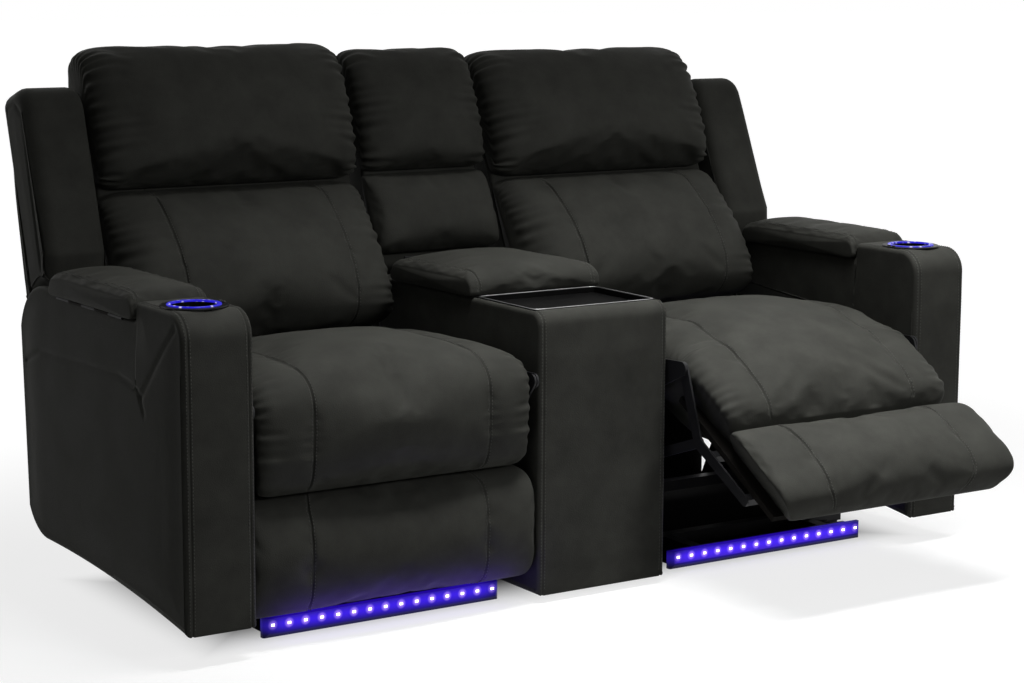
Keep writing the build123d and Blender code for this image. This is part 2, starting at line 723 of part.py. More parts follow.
def head_outline(low, high, front, crown):
    """Outline maker for a pad that wraps over the top of a back."""

    def draw(inset, share):
        drawn = inset * END_DRAW
        wrap = BACK_FACE - HEAD_WRAP + drawn
        foot = (low + drawn, BACK_FACE)
        lip = (low + drawn + HEAD_LIP, front - HEAD_LIP - inset)
        brow = (high - drawn - HEAD_BROW, front - inset)
        top = (high - drawn, BACK_FACE - HEAD_WRAP / 3)
        nape = ((high + BACK_HIGH - drawn) / 2, wrap)
        SagittaArc(foot, lip, upright_rise(HEAD_LIP, front - HEAD_LIP - inset - BACK_FACE))
        SagittaArc(lip, brow, max(crown * share, 1.0))
        SagittaArc(brow, top, HEAD_BROW / 4)
        SagittaArc(top, nape, HEAD_LIP / 2)
        Polyline(nape, (BACK_HIGH, wrap), (BACK_HIGH, BACK_FACE), foot)

    return draw


def console_head_pad():
    outline = head_outline(CONSOLE_HEAD_LOW, CONSOLE_HEAD_HIGH, WING_FRONT, 26.0)
    return cushion(leaning, 0, CONSOLE_WIDTH / 2, 24.0, outline)


# Carriage of one seat: side plates, seat frame, springs, cushion and drive
def side_plates():
    with BuildPart() as plates:
        for sign in (-1, 1):
            with BuildSketch(side(SEAT_X + sign * CARRIAGE_LAYER)):
                for point, radius in ((HINGE, 14.0), (PIVOT, 24.0)):
                    with Locations(point):
                        Circle(radius)
                with Locations((TRACK_FRONT, TRACK_TOP)):
                    Rectangle(PIVOT[0] - TRACK_FRONT, 2 * GLIDE, align=Align.MIN)
                make_hull()
            extrude(amount=PLATE / 2, both=True)
            for point in (HINGE, CRANK, PIVOT):
                with BuildSketch(side(SEAT_X + sign * CARRIAGE_IN)):
                    with Locations(point):
                        Circle(PIN)
                extrude(amount=-sign * (PLATE + LAYER_GAP * 0.8))
    return plates.part


def seat_frame():
    top = PAD_BASE - FRAME_RAIL / 2
    with BuildPart() as frame:
        for depth in (FRAME_FRONT + FRAME_RAIL / 2, FRAME_REAR - FRAME_RAIL / 2):
            with Locations(spot(SEAT_X, depth, top)):
                Box(2 * CARRIAGE_IN, FRAME_RAIL, FRAME_RAIL)
        for sign in (-1, 1):
            with Locations(spot(SEAT_X + sign * (FRAME_HALF - FRAME_RAIL / 2), (FRAME_FRONT + FRAME_REAR) / 2, top)):
                Box(FRAME_RAIL, FRAME_REAR - FRAME_FRONT, FRAME_RAIL)
    return frame.part


def seat_springs():
    start = FRAME_FRONT + FRAME_RAIL
    length = FRAME_REAR - FRAME_RAIL - start
    pitch = 2 * (FRAME_HALF - FRAME_RAIL) / SPRINGS
    step = length / (2 * SPRING_WAVES + 1)
    level = PAD_BASE - 2 * SPRING_WIRE
    with BuildPart() as springs:
        for i in range(SPRINGS):
            x = SEAT_X + (i - (SPRINGS - 1) / 2) * pitch
            points = [(0, SPRING_WIRE / 2)]
            for wave in range(2 * SPRING_WAVES + 1):
                swing_out = pitch * 0.3 * (1 if wave % 2 else -1)
                points += [(swing_out, wave * step + step * 0.2), (swing_out, wave * step + step * 0.8)]
            points.append((0, length - SPRING_WIRE / 2))
            with BuildSketch(Plane(origin=spot(x, start, level))):
                with BuildLine():
                    Polyline(*points)
                trace(line_width=SPRING_WIRE)
                with Locations((0, SPRING_WIRE / 4), (0, length - SPRING_WIRE / 4)):
                    Rectangle(SPRING_WIRE, SPRING_WIRE / 2)
            extrude(amount=SPRING_WIRE)
    return springs.part


def seat_cushion():
    outline = slab(SEAT_FRONT, SEAT_REAR, PAD_BASE, SEAT_EDGE, SEAT_EDGE - 6, SEAT_CROWN, 44.0, 12.0)
    return cushion(side, SEAT_X, SEAT_HALF, 16.0, outline, SEAM)


DRIVE_SWING = FOOT_FULL / 2
DRIVE_REACH = DRIVE_ARM * sin(radians(DRIVE_SWING))
DRIVE_STROKE = 2 * DRIVE_REACH
DRIVE_PIN = turned((CRANK[0], CRANK[1] - DRIVE_ARM), CRANK, -DRIVE_SWING)
MOTOR_FRONT = 330.0
MOTOR_LENGTH = 120.0
MOTOR_RADIUS = 28.0
BLOCK = 34.0
FORK_WALL = 4.0
BLOCK_WALL = 3.0
ARM_PLATE = 6.0


def actuator():
    screw_front = CRANK[0] - DRIVE_REACH - BLOCK
    with BuildPart() as drive:
        with BuildSketch(Plane(origin=spot(SEAT_X, screw_front, SCREW_HEIGHT), x_dir=(1, 0, 0), z_dir=(0, 1, 0))):
            Circle(SCREW_RADIUS)
        extrude(amount=MOTOR_FRONT - screw_front)
        with Locations(spot(SEAT_X, MOTOR_FRONT + MOTOR_LENGTH / 6, SCREW_HEIGHT)):
            Box(2 * MOTOR_RADIUS, MOTOR_LENGTH / 3, 2 * MOTOR_RADIUS)
        motor_start = spot(SEAT_X, MOTOR_FRONT + MOTOR_LENGTH / 3, SCREW_HEIGHT)
        with BuildSketch(Plane(origin=motor_start, x_dir=(1, 0, 0), z_dir=(0, 1, 0))):
            Circle(MOTOR_RADIUS)
        extrude(amount=MOTOR_LENGTH)
        hanger_low = SCREW_HEIGHT + MOTOR_RADIUS / 2
        hanger_high = PAD_BASE - FRAME_RAIL
        with Locations(spot(SEAT_X, FRAME_REAR - FRAME_RAIL / 2, (hanger_low + hanger_high) / 2)):
            Box(MOTOR_RADIUS, FRAME_RAIL / 2, hanger_high - hanger_low)
    return drive.part


def torque_crank():
    knee = (LIFT[0] + CRANK[0] - HINGE[0], LIFT[1] + CRANK[1] - HINGE[1])
    links = plate((CRANK, knee), (LINK_HALF + 2, LINK_HALF), LINK_LAYER, (CRANK,), (knee,), PLATE + LAYER_GAP * 1.5)
    with BuildPart() as crank:
        add(links)
        with BuildSketch(side(SEAT_X)):
            with Locations(CRANK):
                Circle(TORQUE_TUBE)
        extrude(amount=LINK_IN, both=True)
        with BuildSketch(side(SEAT_X)):
            for point, radius in ((CRANK, TORQUE_TUBE), (DRIVE_PIN, PIN + LAYER_GAP)):
                with Locations(point):
                    Circle(radius)
            make_hull()
        extrude(amount=ARM_PLATE / 2, both=True)
        with BuildSketch(side(SEAT_X)):
            with Locations(DRIVE_PIN):
                Circle(PIN)
        extrude(amount=ARM_PLATE / 2 + LAYER_GAP + FORK_WALL, both=True)
    return crank.part


def lift_struts():
    knee = (LIFT[0] + CRANK[0] - HINGE[0], LIFT[1] + CRANK[1] - HINGE[1])
    with BuildPart() as struts:
        for sign in (-1, 1):
            with BuildSketch(side(SEAT_X + sign * STRUT_LAYER)):
                for point in (LIFT, knee):
                    with Locations(point):
                        Circle(LINK_HALF)
                make_hull()
                with Locations(LIFT):
                    Circle(PIN + OPEN_FIT, mode=Mode.SUBTRACT)
                with Locations(knee):
                    Circle(PIN + RUN_FIT, mode=Mode.SUBTRACT)
            extrude(amount=PLATE / 2, both=True)
    return struts.part


def drive_block():
    lowest = CRANK[1] - DRIVE_ARM
    slot_low = lowest - PIN - OPEN_FIT
    slot_high = DRIVE_PIN[1] + PIN + OPEN_FIT
    slot_half = PIN + DRIVE_SLACK
    wall_x = ARM_PLATE / 2 + LAYER_GAP + FORK_WALL / 2
    base_high = SCREW_HEIGHT + SCREW_RADIUS + BLOCK_WALL
    with BuildPart() as block:
        with Locations(spot(SEAT_X, DRIVE_PIN[0], SCREW_HEIGHT)):
            Box(BLOCK, BLOCK, 2 * (SCREW_RADIUS + BLOCK_WALL))
        for sign in (-1, 1):
            with BuildSketch(side(SEAT_X + sign * wall_x)):
                with Locations((DRIVE_PIN[0], (base_high + slot_high + FORK_WALL) / 2)):
                    Rectangle(BLOCK, slot_high + FORK_WALL - base_high)
                with Locations((DRIVE_PIN[0], (slot_low + slot_high) / 2)):
                    Rectangle(2 * slot_half, slot_high - slot_low, mode=Mode.SUBTRACT)
            extrude(amount=FORK_WALL / 2, both=True)
        with BuildSketch(Plane(origin=spot(SEAT_X, DRIVE_PIN[0], SCREW_HEIGHT), x_dir=(1, 0, 0), z_dir=(0, 1, 0))):
            Circle(SCREW_RADIUS + OPEN_FIT)
        extrude(amount=BLOCK, both=True, mode=Mode.SUBTRACT)
    return block.part


DRIVE_SLACK = 1.8


# Footrest: swinging frame, board and the two pads on it
def footrest_frame():
    low_end = (PAD_BACK + FOOT_BOARD + LINK_HALF, (FOOT_LOW + FOOT_HIGH) / 2 - FOOT_TUBE)
    upper = plate((HINGE, LIFT), (LINK_HALF + 3, LINK_HALF + 2), LINK_LAYER, (HINGE,), (LIFT,), PLATE + LAYER_GAP * 1.5)
    with BuildPart() as frame:
        add(upper)
        add(plate((LIFT, low_end), (LINK_HALF + 2, LINK_HALF), LINK_LAYER))
        for height in (low_end[1], LIFT[1] - 3 * FOOT_TUBE):
            with Locations(spot(SEAT_X, PAD_BACK + FOOT_BOARD + FOOT_TUBE / 2, height)):
                Box(2 * LINK_LAYER, FOOT_TUBE, FOOT_TUBE)
    return frame.part


def footrest_board():
    low, high = FOOT_LOW + FOOT_BOARD, FRONT_HIGH - FOOT_BOARD / 2
    with BuildPart() as board:
        with Locations(spot(SEAT_X, PAD_BACK + FOOT_BOARD / 2, (low + high) / 2)):
            Box(2 * (FRAME_HALF - LAYER_GAP * 4), FOOT_BOARD, high - low)
    return board.part


def seat_front():
    outline = slab(FRONT_LOW, FRONT_HIGH, 0, FOOT_THICK, FOOT_THICK - 4, FOOT_CROWN, 26.0, 8.0)
    return cushion(upright, SEAT_X, FLAP_HALF, 22.0, outline, SEAM)


def footrest_pad():
    outline = slab(FOOT_LOW, FOOT_HIGH, 0, FOOT_THICK, FOOT_THICK, FOOT_CROWN, 30.0, 26.0)
    return cushion(upright, SEAT_X, FOOT_HALF, 26.0, outline, SEAM)


# Back: shell, hinge brackets, headrest, lumbar pad and wing
def back_shell():
    rear = BACK_FACE - BACK_THICK
    with BuildPart() as shell:
        with BuildSketch(leaning(SEAT_X)):
            with BuildLine():
                Polyline((BACK_LOW, BACK_FACE - BACK_THICK / 2), (BACK_LOW, BACK_FACE), (BACK_HIGH, BACK_FACE))
                Line((BACK_HIGH, BACK_FACE), (BACK_HIGH, BACK_FACE - HEAD_WRAP + 24))
                SagittaArc((BACK_HIGH, BACK_FACE - HEAD_WRAP + 24), (BACK_HIGH - 60, rear + 6), 8)
                SagittaArc((BACK_HIGH - 60, rear + 6), (BACK_LOW + 50, rear + 6), 10)
                SagittaArc((BACK_LOW + 50, rear + 6), (BACK_LOW, BACK_FACE - BACK_THICK / 2), 8)
            make_face()
        extrude(amount=FRAME_HALF, both=True)
    return shell.part


def back_hinges():
    anchor = leaned(BRACKET_UP, BACK_FACE - BACK_THICK / 3)
    brackets = plate((PIVOT, anchor), (BRACKET, BRACKET), LINK_LAYER, (PIVOT,))
    wing_x = ARM_IN + WING_GAP
    with BuildPart() as hinges:
        add(brackets)
        for sign in (-1, 1):
            with BuildSketch(side(SEAT_X + sign * FRAME_HALF)):
                with Locations(anchor):
                    Circle(BRACKET - 2 * LAYER_GAP)
            extrude(amount=sign * (LINK_IN - FRAME_HALF))
        shell_x = SEAT_X + FRAME_HALF
        for up in WING_BARS:
            with BuildSketch(leaning(shell_x)):
                with Locations((up, BACK_FACE - BACK_THICK / 2)):
                    Rectangle(BACK_THICK / 2, BACK_THICK / 3)
            extrude(amount=wing_x - shell_x)
    return hinges.part


def lumbar():
    outline = slab(LUMBAR_LOW, LUMBAR_HIGH, BACK_FACE, LUMBAR_FOOT, LUMBAR_HEAD, LUMBAR_CROWN, 50.0, 24.0)
    return cushion(leaning, SEAT_X, SEAT_HALF, 45.0, outline, SEAM)


def headrest():
    outline = head_outline(HEAD_LOW, HEAD_HIGH, HEAD_FRONT, HEAD_CROWN)
    return cushion(leaning, SEAT_X, HEAD_HALF, 36.0, outline)


def wing():
    front_foot = sqrt(WING_SWEEP**2 - WING_GAP**2)
    rear_foot = sqrt(WING_SWEEP**2 - WING_BACK**2)
    thickness = ARM_WIDTH - ARM_OUTER_PANEL - 2 * WING_GAP
    with BuildPart() as panel:
        with BuildSketch(leaning(ARM_IN + WING_GAP)):
            with BuildLine():
                Line((front_foot, WING_GAP), (front_foot + WING_ROUND, WING_FRONT))
                Line((front_foot + WING_ROUND, WING_FRONT), (WING_HIGH - WING_ROUND, WING_FRONT))
                SagittaArc(
                    (WING_HIGH - WING_ROUND, WING_FRONT), (WING_HIGH, WING_FRONT - WING_ROUND), QUARTER * WING_ROUND
                )
                Polyline((WING_HIGH, WING_FRONT - WING_ROUND), (WING_HIGH, WING_BACK + 24), (WING_HIGH - 24, WING_BACK))
                Line((WING_HIGH - 24, WING_BACK), (rear_foot, WING_BACK))
                RadiusArc((rear_foot, WING_BACK), (front_foot, WING_GAP), -WING_SWEEP)
            make_face()
        extrude(amount=thickness)
        faces = panel.faces().filter_by(Axis.X)
        edges = faces.edges().filter_by(lambda e: e.center().Z > ARM_TOP + WING_ROUND)
        fillet(edges, WING_EDGE)
    return panel.part


os.makedirs("parts", exist_ok=True)

# Pieces fixed to the base, some of them as a matching pair in one node
def pair(part):
    """The piece and its mirror image on the other side of the sofa."""
    with BuildPart() as both:
        add(part)
        mirror(part, about=Plane.YZ)
    return both.part


save(pair(base_frame()), "base_frames")
save(glides(), "glides")
save(pair(light_rail()), "light_rails")
save(pair(lamps()), "lamps")
save(pair(cup_holder()), "cup_holders")
save(pair(cup_light()), "cup_lights")
save(pair(lid_hinge()), "arm_lid_hinges")
save(console_box(), "console_box")
save(console_tray(), "console_tray")
save(console_hinge(), "console_hinge")
save(console_lid_board(), "console_lid_board")
save(console_lid(), "console_lid")
save(console_back_core(), "console_back_core")
save(console_lower_pad(), "console_lower_pad")
save(console_head_pad(), "console_head_pad")

PLACED = {
    "arm": (arm(), handed),
    "lid_board": (lid_board(), handed),
    "arm_lid": (arm_lid(), handed),
    "open_button": (button(0), handed),
    "close_button": (button(1), handed),
    "side_plates": (side_plates(), on_carriage),
    "seat_frame": (seat_frame(), on_carriage),
    "seat_springs": (seat_springs(), on_carriage),
    "seat_cushion": (seat_cushion(), on_carriage),
    "actuator": (actuator(), on_carriage),
    "torque_crank": (torque_crank(), on_crank),
    "lift_struts": (lift_struts(), on_struts),
    "drive_block": (drive_block(), on_block),
    "footrest_frame": (footrest_frame(), on_footrest),
    "footrest_board": (footrest_board(), on_footrest),
    "seat_front": (seat_front(), on_footrest),
    "footrest_pad": (footrest_pad(), on_footrest),
    "back_shell": (back_shell(), on_back),
    "back_hinges": (back_hinges(), on_back),
    "lumbar": (lumbar(), on_back),
    "headrest": (headrest(), on_back),
    "wing": (wing(), on_back),
}
for seat in SEATS:
    for name, (part, place) in PLACED.items():
        save(place(part, seat), f"{seat.name}_{name}")
print("front of the arms at y", round(FRONT_Y, 3))
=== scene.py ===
"""Looks of a two-seat power reclining loveseat with a centre console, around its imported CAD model.

Lengths are written in millimetres and become metres where a mesh is made. Depth is measured back
from the front of the arms, height from the floor, and x to the viewer's right. Every piece is
worked out for a closed, upright seat and is then carried to the seat's state at rest.
"""

import logging
from collections.abc import Callable
from dataclasses import dataclass, field
from enum import Enum
from math import atan2, cos, pi, radians, sin, sqrt

import bmesh
import bpy
import numpy as np
from mathutils import Matrix, Vector


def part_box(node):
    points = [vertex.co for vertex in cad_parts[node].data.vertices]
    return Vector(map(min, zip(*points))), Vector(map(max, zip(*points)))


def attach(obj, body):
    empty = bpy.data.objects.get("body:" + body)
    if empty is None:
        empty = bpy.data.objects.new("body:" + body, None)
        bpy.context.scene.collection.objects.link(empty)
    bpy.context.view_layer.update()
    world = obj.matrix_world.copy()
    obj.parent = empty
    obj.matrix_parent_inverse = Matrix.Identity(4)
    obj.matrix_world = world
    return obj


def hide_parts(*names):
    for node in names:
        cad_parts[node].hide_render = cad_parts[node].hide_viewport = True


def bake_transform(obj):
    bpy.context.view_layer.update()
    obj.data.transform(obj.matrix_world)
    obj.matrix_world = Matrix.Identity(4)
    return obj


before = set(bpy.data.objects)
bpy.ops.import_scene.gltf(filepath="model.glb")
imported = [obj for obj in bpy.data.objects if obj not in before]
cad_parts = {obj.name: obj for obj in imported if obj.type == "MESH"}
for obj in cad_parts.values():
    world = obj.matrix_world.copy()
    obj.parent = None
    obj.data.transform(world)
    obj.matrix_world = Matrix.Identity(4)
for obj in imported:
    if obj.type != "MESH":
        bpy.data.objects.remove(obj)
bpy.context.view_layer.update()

log = logging.getLogger("loveseat")
Array = np.ndarray
Object = bpy.types.Object
Material = bpy.types.Material
Tree = bpy.types.NodeTree
Socket = bpy.types.NodeSocket
Pair = tuple[float, float]
Triple = tuple[float, float, float]
Grids = list[tuple[Array, Array]]

MM = 0.001
CONSOLE_FRONT = 34.0
FRONT_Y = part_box("console_box")[0].y / MM - CONSOLE_FRONT
LEAN = radians(17.5)
PIVOT = (580.0, 400.0)
HINGE = (41.0, 432.0)
PAD_BACK = 106.0
CONSOLE_HALF = 149.0
SEAT_X = 454.0
ARM_IN = 759.0
ARM_OUT = 894.0
ARM_DEPTH = 738.0
CUP_CENTRE = (826.5, 92.0)
LAMP_PITCH = 33.3
LAMP_HEIGHT = 30.0


# Shapes as whole arrays


def turned(points: Array, centre: Pair, angle: Array | float) -> Array:
    """Swing depths and heights about a centre, the front upwards.

    Args:
        points: Array whose last axis holds depth and height.
        centre: Depth and height of the axis.
        angle: Angle in radians, one for all or one per point.

    Returns:
        The swung points: the offset from the axis times the plane rotation.
    """
    dy, dz = points[..., 0] - centre[0], points[..., 1] - centre[1]
    c, s = np.cos(angle), np.sin(angle)
    return np.stack([centre[0] + dy * c + dz * s, centre[1] + dz * c - dy * s], axis=-1)


def arc(start: Pair, end: Pair, rise: float, count: int = 24) -> Array:
    """Points of a circular arc over a chord.

    Args:
        start: First end of the chord.
        end: Other end of the chord.
        rise: Height over the chord, to the left of its direction.
        count: Number of points.

    Returns:
        Points at equal angles: sines run along the chord and cosines rise from it.
    """
    a, b = np.array(start), np.array(end)
    chord = b - a
    length = np.hypot(*chord)
    left = np.array([-chord[1], chord[0]]) / length
    half = 2 * atan2(2 * abs(rise), length)
    t = np.linspace(-half, half, count)[:, None]
    along = np.sin(t) / sin(half)
    up = (np.cos(t) - cos(half)) / (1 - cos(half))
    return (a + b) / 2 + along * chord / 2 + up * rise * left


def resampled(points: Array, count: int) -> Array:
    """Evenly spaced points along a polyline, both ends kept."""
    steps = np.sqrt((np.diff(points, axis=0) ** 2).sum(axis=1))
    run = np.concatenate([[0.0], np.cumsum(steps)])
    goal = np.linspace(0, run[-1], count)
    return np.stack([np.interp(goal, run, points[:, i]) for i in range(points.shape[1])], axis=1)


def smooth_loop(points: Array, per: int) -> Array:
    """Closed curve through points.

    Args:
        points: Array of outlines, (..., points, 2).
        per: Samples from each point to the next.

    Returns:
        The samples of a Catmull-Rom curve: a cubic in t whose slope at each point is half the
        step between the two points beside it.
    """
    p0, p1 = np.roll(points, 1, axis=-2), points
    p2, p3 = np.roll(points, -1, axis=-2), np.roll(points, -2, axis=-2)
    p0, p1, p2, p3 = (p[..., None, :] for p in (p0, p1, p2, p3))
    t = (np.arange(per) / per)[:, None]
    curve = 0.5 * (
        2 * p1 + (p2 - p0) * t + (2 * p0 - 5 * p1 + 4 * p2 - p3) * t**2
        + (3 * p1 - p0 - 3 * p2 + p3) * t**3
    )
    return curve.reshape(*points.shape[:-2], -1, 2)


def coons(front: Array, rear: Array, low: Array, high: Array) -> Array:
    """Grid inside four edges: the two ruled surfaces added, less the one through the corners.

    Args:
        front: Points up the front edge.
        rear: Points up the rear edge, as many as the front.
        low: Points along the lower edge from front to rear.
        high: Points along the upper edge from front to rear.

    Returns:
        Points as (front, low, 2).
    """
    u = np.linspace(0, 1, len(low))[None, :, None]
    v = np.linspace(0, 1, len(front))[:, None, None]
    across = (1 - u) * front[:, None] + u * rear[:, None]
    up = (1 - v) * low[None] + v * high[None]
    corners = (1 - u) * (1 - v) * low[0] + u * (1 - v) * low[-1]
    corners = corners + (1 - u) * v * high[0] + u * v * high[-1]
    return across + up - corners


def grid_faces(rows: int, cols: int, closed: bool) -> Array:
    """Quads of a grid of rows and columns, whose columns may join up."""
    r = np.arange(rows - 1)[:, None]
    c = np.arange(cols if closed else cols - 1)[None, :]
    n = (c + 1) % cols
    this, below = r * cols, (r + 1) * cols
    return np.stack([this + c, this + n, below + n, below + c], axis=-1).reshape(-1, 4)


def grid_normals(points: Array, closed: bool) -> Array:
    """Unit normals of a grid, from the cross product of its two differences, facing outwards."""
    if closed:
        along = np.roll(points, -1, axis=1) - np.roll(points, 1, axis=1)
    else:
        along = np.gradient(points, axis=1)
    across = np.gradient(points, axis=0)
    normal = np.cross(across, along)
    normal /= np.maximum(np.linalg.norm(normal, axis=-1, keepdims=True), 1e-12)
    outward = ((points - points.mean(axis=(0, 1))) * normal).sum()
    return normal if outward > 0 else -normal


def squared(count: int, power: float) -> Array:
    """Loop of a square with round corners, from -1 to 1 each way: cosine and sine to a small power."""
    t = np.linspace(0, 2 * pi, count, endpoint=False)
    both = np.stack([np.cos(t), np.sin(t)], axis=1)
    return np.sign(both) * np.abs(both) ** power


def bell(distance: Array, width: float) -> Array:
    """Smooth hump of height one: the exponential of minus the square of distance over width."""
    return np.exp(-((distance / width) ** 2))


def new_piece(name: str, grids: Grids, hold: Array | None = None, weld: float = 0.05) -> Object:
    """Make one object from grids of points.

    Args:
        name: Name of the piece.
        grids: Pairs of points in millimetres and faces.
        hold: For each point, one where a seam or a board holds the cover.
        weld: Points nearer than this become one.

    Returns:
        The object, with its faces outwards and smooth.
    """
    verts = np.concatenate([points.reshape(-1, 3) for points, _ in grids]) * MM
    starts = np.cumsum([0] + [points.size // 3 for points, _ in grids])
    faces = np.concatenate([f + start for (_, f), start in zip(grids, starts)])
    mesh = bpy.data.meshes.new(name)
    mesh.vertices.add(len(verts))
    mesh.vertices.foreach_set("co", verts.astype(np.float32).ravel())
    mesh.loops.add(faces.size)
    mesh.loops.foreach_set("vertex_index", faces.astype(np.int32).ravel())
    mesh.polygons.add(len(faces))
    mesh.polygons.foreach_set("loop_start", np.arange(0, faces.size, faces.shape[1], dtype=np.int32))
    mesh.update(calc_edges=True)
    place = mesh.attributes.new("place", "INT", "POINT")
    place.data.foreach_set("value", np.arange(len(verts), dtype=np.int32))
    if hold is not None:
        held = mesh.attributes.new("hold", "FLOAT", "POINT")
        held.data.foreach_set("value", hold.astype(np.float32).ravel())
    shape = bmesh.new()
    shape.from_mesh(mesh)
    if weld:
        bmesh.ops.remove_doubles(shape, verts=shape.verts, dist=weld * MM)
        bmesh.ops.dissolve_degenerate(shape, edges=shape.edges, dist=1e-7)
    bmesh.ops.recalc_face_normals(shape, faces=shape.faces)
    shape.to_mesh(mesh)
    shape.free()
    mesh.polygons.foreach_set("use_smooth", np.ones(len(mesh.polygons), dtype=bool))
    piece = bpy.data.objects.new(name, mesh)
    bpy.context.scene.collection.objects.link(piece)
    return piece


# Seats and the ways of drawing


@dataclass(frozen=True)
class Seat:
    """One seat at rest: its side, footrest angle, recline and travel of its carriage."""

    name: str
    side: int
    opened: float
    reclined: float
    travel: float

    def node(self, name: str) -> str:
        """Full name of a CAD piece: the console's own names have no side before them."""
        return name if self is FIXED else f"{self.name}_{name}"


LEFT = Seat("left", -1, 0.0, 0.0, 0.0)
RIGHT = Seat("right", 1, radians(58.0), radians(5.5), 44.95)
FIXED = Seat("console", 1, 0.0, 0.0, 0.0)


class Drawn(Enum):
    """The measures in which an outline is drawn."""

    SIDE = "depth and height"
    UPRIGHT = "height and distance in front of the footrest board"
    LEANING = "height along the lean and distance in front of the pivot line"

    def flat(self, outline: Array) -> Array:
        """Depth and height of points of an outline."""
        u, v = outline[..., 0], outline[..., 1]
        if self is Drawn.UPRIGHT:
            return np.stack([PAD_BACK - v, u], axis=-1)
        if self is Drawn.LEANING:
            c, s = cos(LEAN), sin(LEAN)
            return np.stack([PIVOT[0] + u * s - v * c, PIVOT[1] + u * c + v * s], axis=-1)
        return outline


class Carrier(Enum):
    """What carries a piece."""

    BASE = "base"
    COVER = "cover"
    CARRIAGE = "carriage"
    FOOTREST = "footrest"
    BACK = "back"

    def body(self, seat: Seat) -> str:
        """Name of the CAD body."""
        return self.value if self is Carrier.BASE else f"{seat.name}_{self.value}"

    def carried(self, flat: Array, seat: Seat) -> Array:
        """Depths and heights at rest of points drawn for a closed seat."""
        if self is Carrier.FOOTREST:
            flat = turned(flat, HINGE, seat.opened)
        if self is Carrier.BACK:
            flat = turned(flat, PIVOT, seat.reclined)
        if self in (Carrier.FOOTREST, Carrier.BACK, Carrier.CARRIAGE):
            flat = flat - np.array([seat.travel, 0.0])
        return flat


def in_row(x: Array, flat: Array) -> Array:
    """Points in the sofa's frame from x and from depth and height."""
    return np.stack([np.broadcast_to(x, flat.shape[:-1]), flat[..., 0] + FRONT_Y, flat[..., 1]], axis=-1)


# Finishes


class Lit(Enum):
    """How the light of a glowing piece lies over its surface."""

    EVEN = "the same all over"
    WASH = "brightest round the lamps of a rail, and dark towards its edges"
    SPECKLE = "blue with bright specks"


@dataclass(frozen=True)
class Finish:
    """A surface: its tone and gloss, the size and depth of its grain, and its glow."""

    name: str
    tone: Triple
    rough: float
    metal: float = 0.0
    specular: float = 0.5
    grain: float = 600.0
    depth: float = 0.0003
    mottle: float = 0.2
    stretch: Triple = (1.0, 1.0, 1.0)
    glow: Triple | None = None
    strength: float = 0.0
    lit: Lit = Lit.EVEN

    def material(self) -> Material:
        """Build the node material once and return it."""
        label = f"{self.name}_finish"
        found = bpy.data.materials.get(label)
        if found:
            return found
        made = bpy.data.materials.new(label)
        made.use_nodes = True
        made.diffuse_color = (*self.tone, 1.0)
        nodes, links = made.node_tree.nodes, made.node_tree.links
        shader = nodes["Principled BSDF"]
        grain = nodes.new("ShaderNodeGroup")
        grain.node_tree = grain_group()
        for socket, value in (
            ("Tone", (*self.tone, 1.0)), ("Grain", self.grain), ("Mottle", self.mottle),
            ("Roughness", self.rough), ("Stretch", self.stretch),
        ):
            grain.inputs[socket].default_value = value
        bump = new_node(made.node_tree, "ShaderNodeBump", Strength=BUMP_STRENGTH, Distance=self.depth)
        links.new(grain.outputs["Color"], shader.inputs["Base Color"])
        links.new(grain.outputs["Roughness"], shader.inputs["Roughness"])
        links.new(grain.outputs["Height"], bump.inputs["Height"])
        links.new(bump.outputs["Normal"], shader.inputs["Normal"])
        shader.inputs["Metallic"].default_value = self.metal
        shader.inputs["Specular IOR Level"].default_value = self.specular
        if self.glow:
            shader.inputs["Emission Color"].default_value = (*self.glow, 1.0)
            shader.inputs["Emission Strength"].default_value = self.strength
        if self.lit is not Lit.EVEN:
            glow = nodes.new("ShaderNodeGroup")
            glow.node_tree = wash_group() if self.lit is Lit.WASH else speckle_group()
            glow.inputs["Glow"].default_value = (*self.glow, 1.0)
            links.new(glow.outputs["Color"], shader.inputs["Emission Color"])
        return made


BUMP_STRENGTH = 0.6
CLOUD_SCALE, CLOUD_DETAIL, CLOUD_ROUGHNESS = 14.0, 5.0, 0.6
CLOUD_LOW, CLOUD_HIGH = 0.3, 0.7
FINE_DETAIL, FINE_SHARE = 3.0, 0.5
GLOSS_SWING = 0.16
HALO_NEAR, HALO_FAR = 0.002, 0.011
LINE_REACH, LINE_REST = 0.021, 0.06
END_NEAR, END_FAR, END_REST = 0.2, 0.26, 0.25
SPECK_SCALE, SPECK_NEAR, SPECK_FAR = 95.0, 0.12, 0.42
HALO_TONE = (0.42, 0.24, 1.0, 1.0)
SPECK_TONE = (0.75, 0.72, 1.0, 1.0)
MIX_SHARE, MIX_FIRST, MIX_SECOND, MIX_COLOUR = 0, 6, 7, 2


def new_node(tree: Tree, kind: str, **values: float) -> bpy.types.Node:
    """Add a node to a tree and set its inputs by name."""
    node = tree.nodes.new(kind)
    for label, value in values.items():
        node.inputs[label].default_value = value
    return node


def mixed(group: Tree, share: Socket, first: Socket, second: tuple[float, ...]) -> Socket:
    """A colour that turns into a fixed second one as a share grows."""
    node = group.nodes.new("ShaderNodeMix")
    node.data_type = "RGBA"
    node.inputs[MIX_SECOND].default_value = second
    group.links.new(share, node.inputs[MIX_SHARE])
    group.links.new(first, node.inputs[MIX_FIRST])
    return node.outputs[MIX_COLOUR]


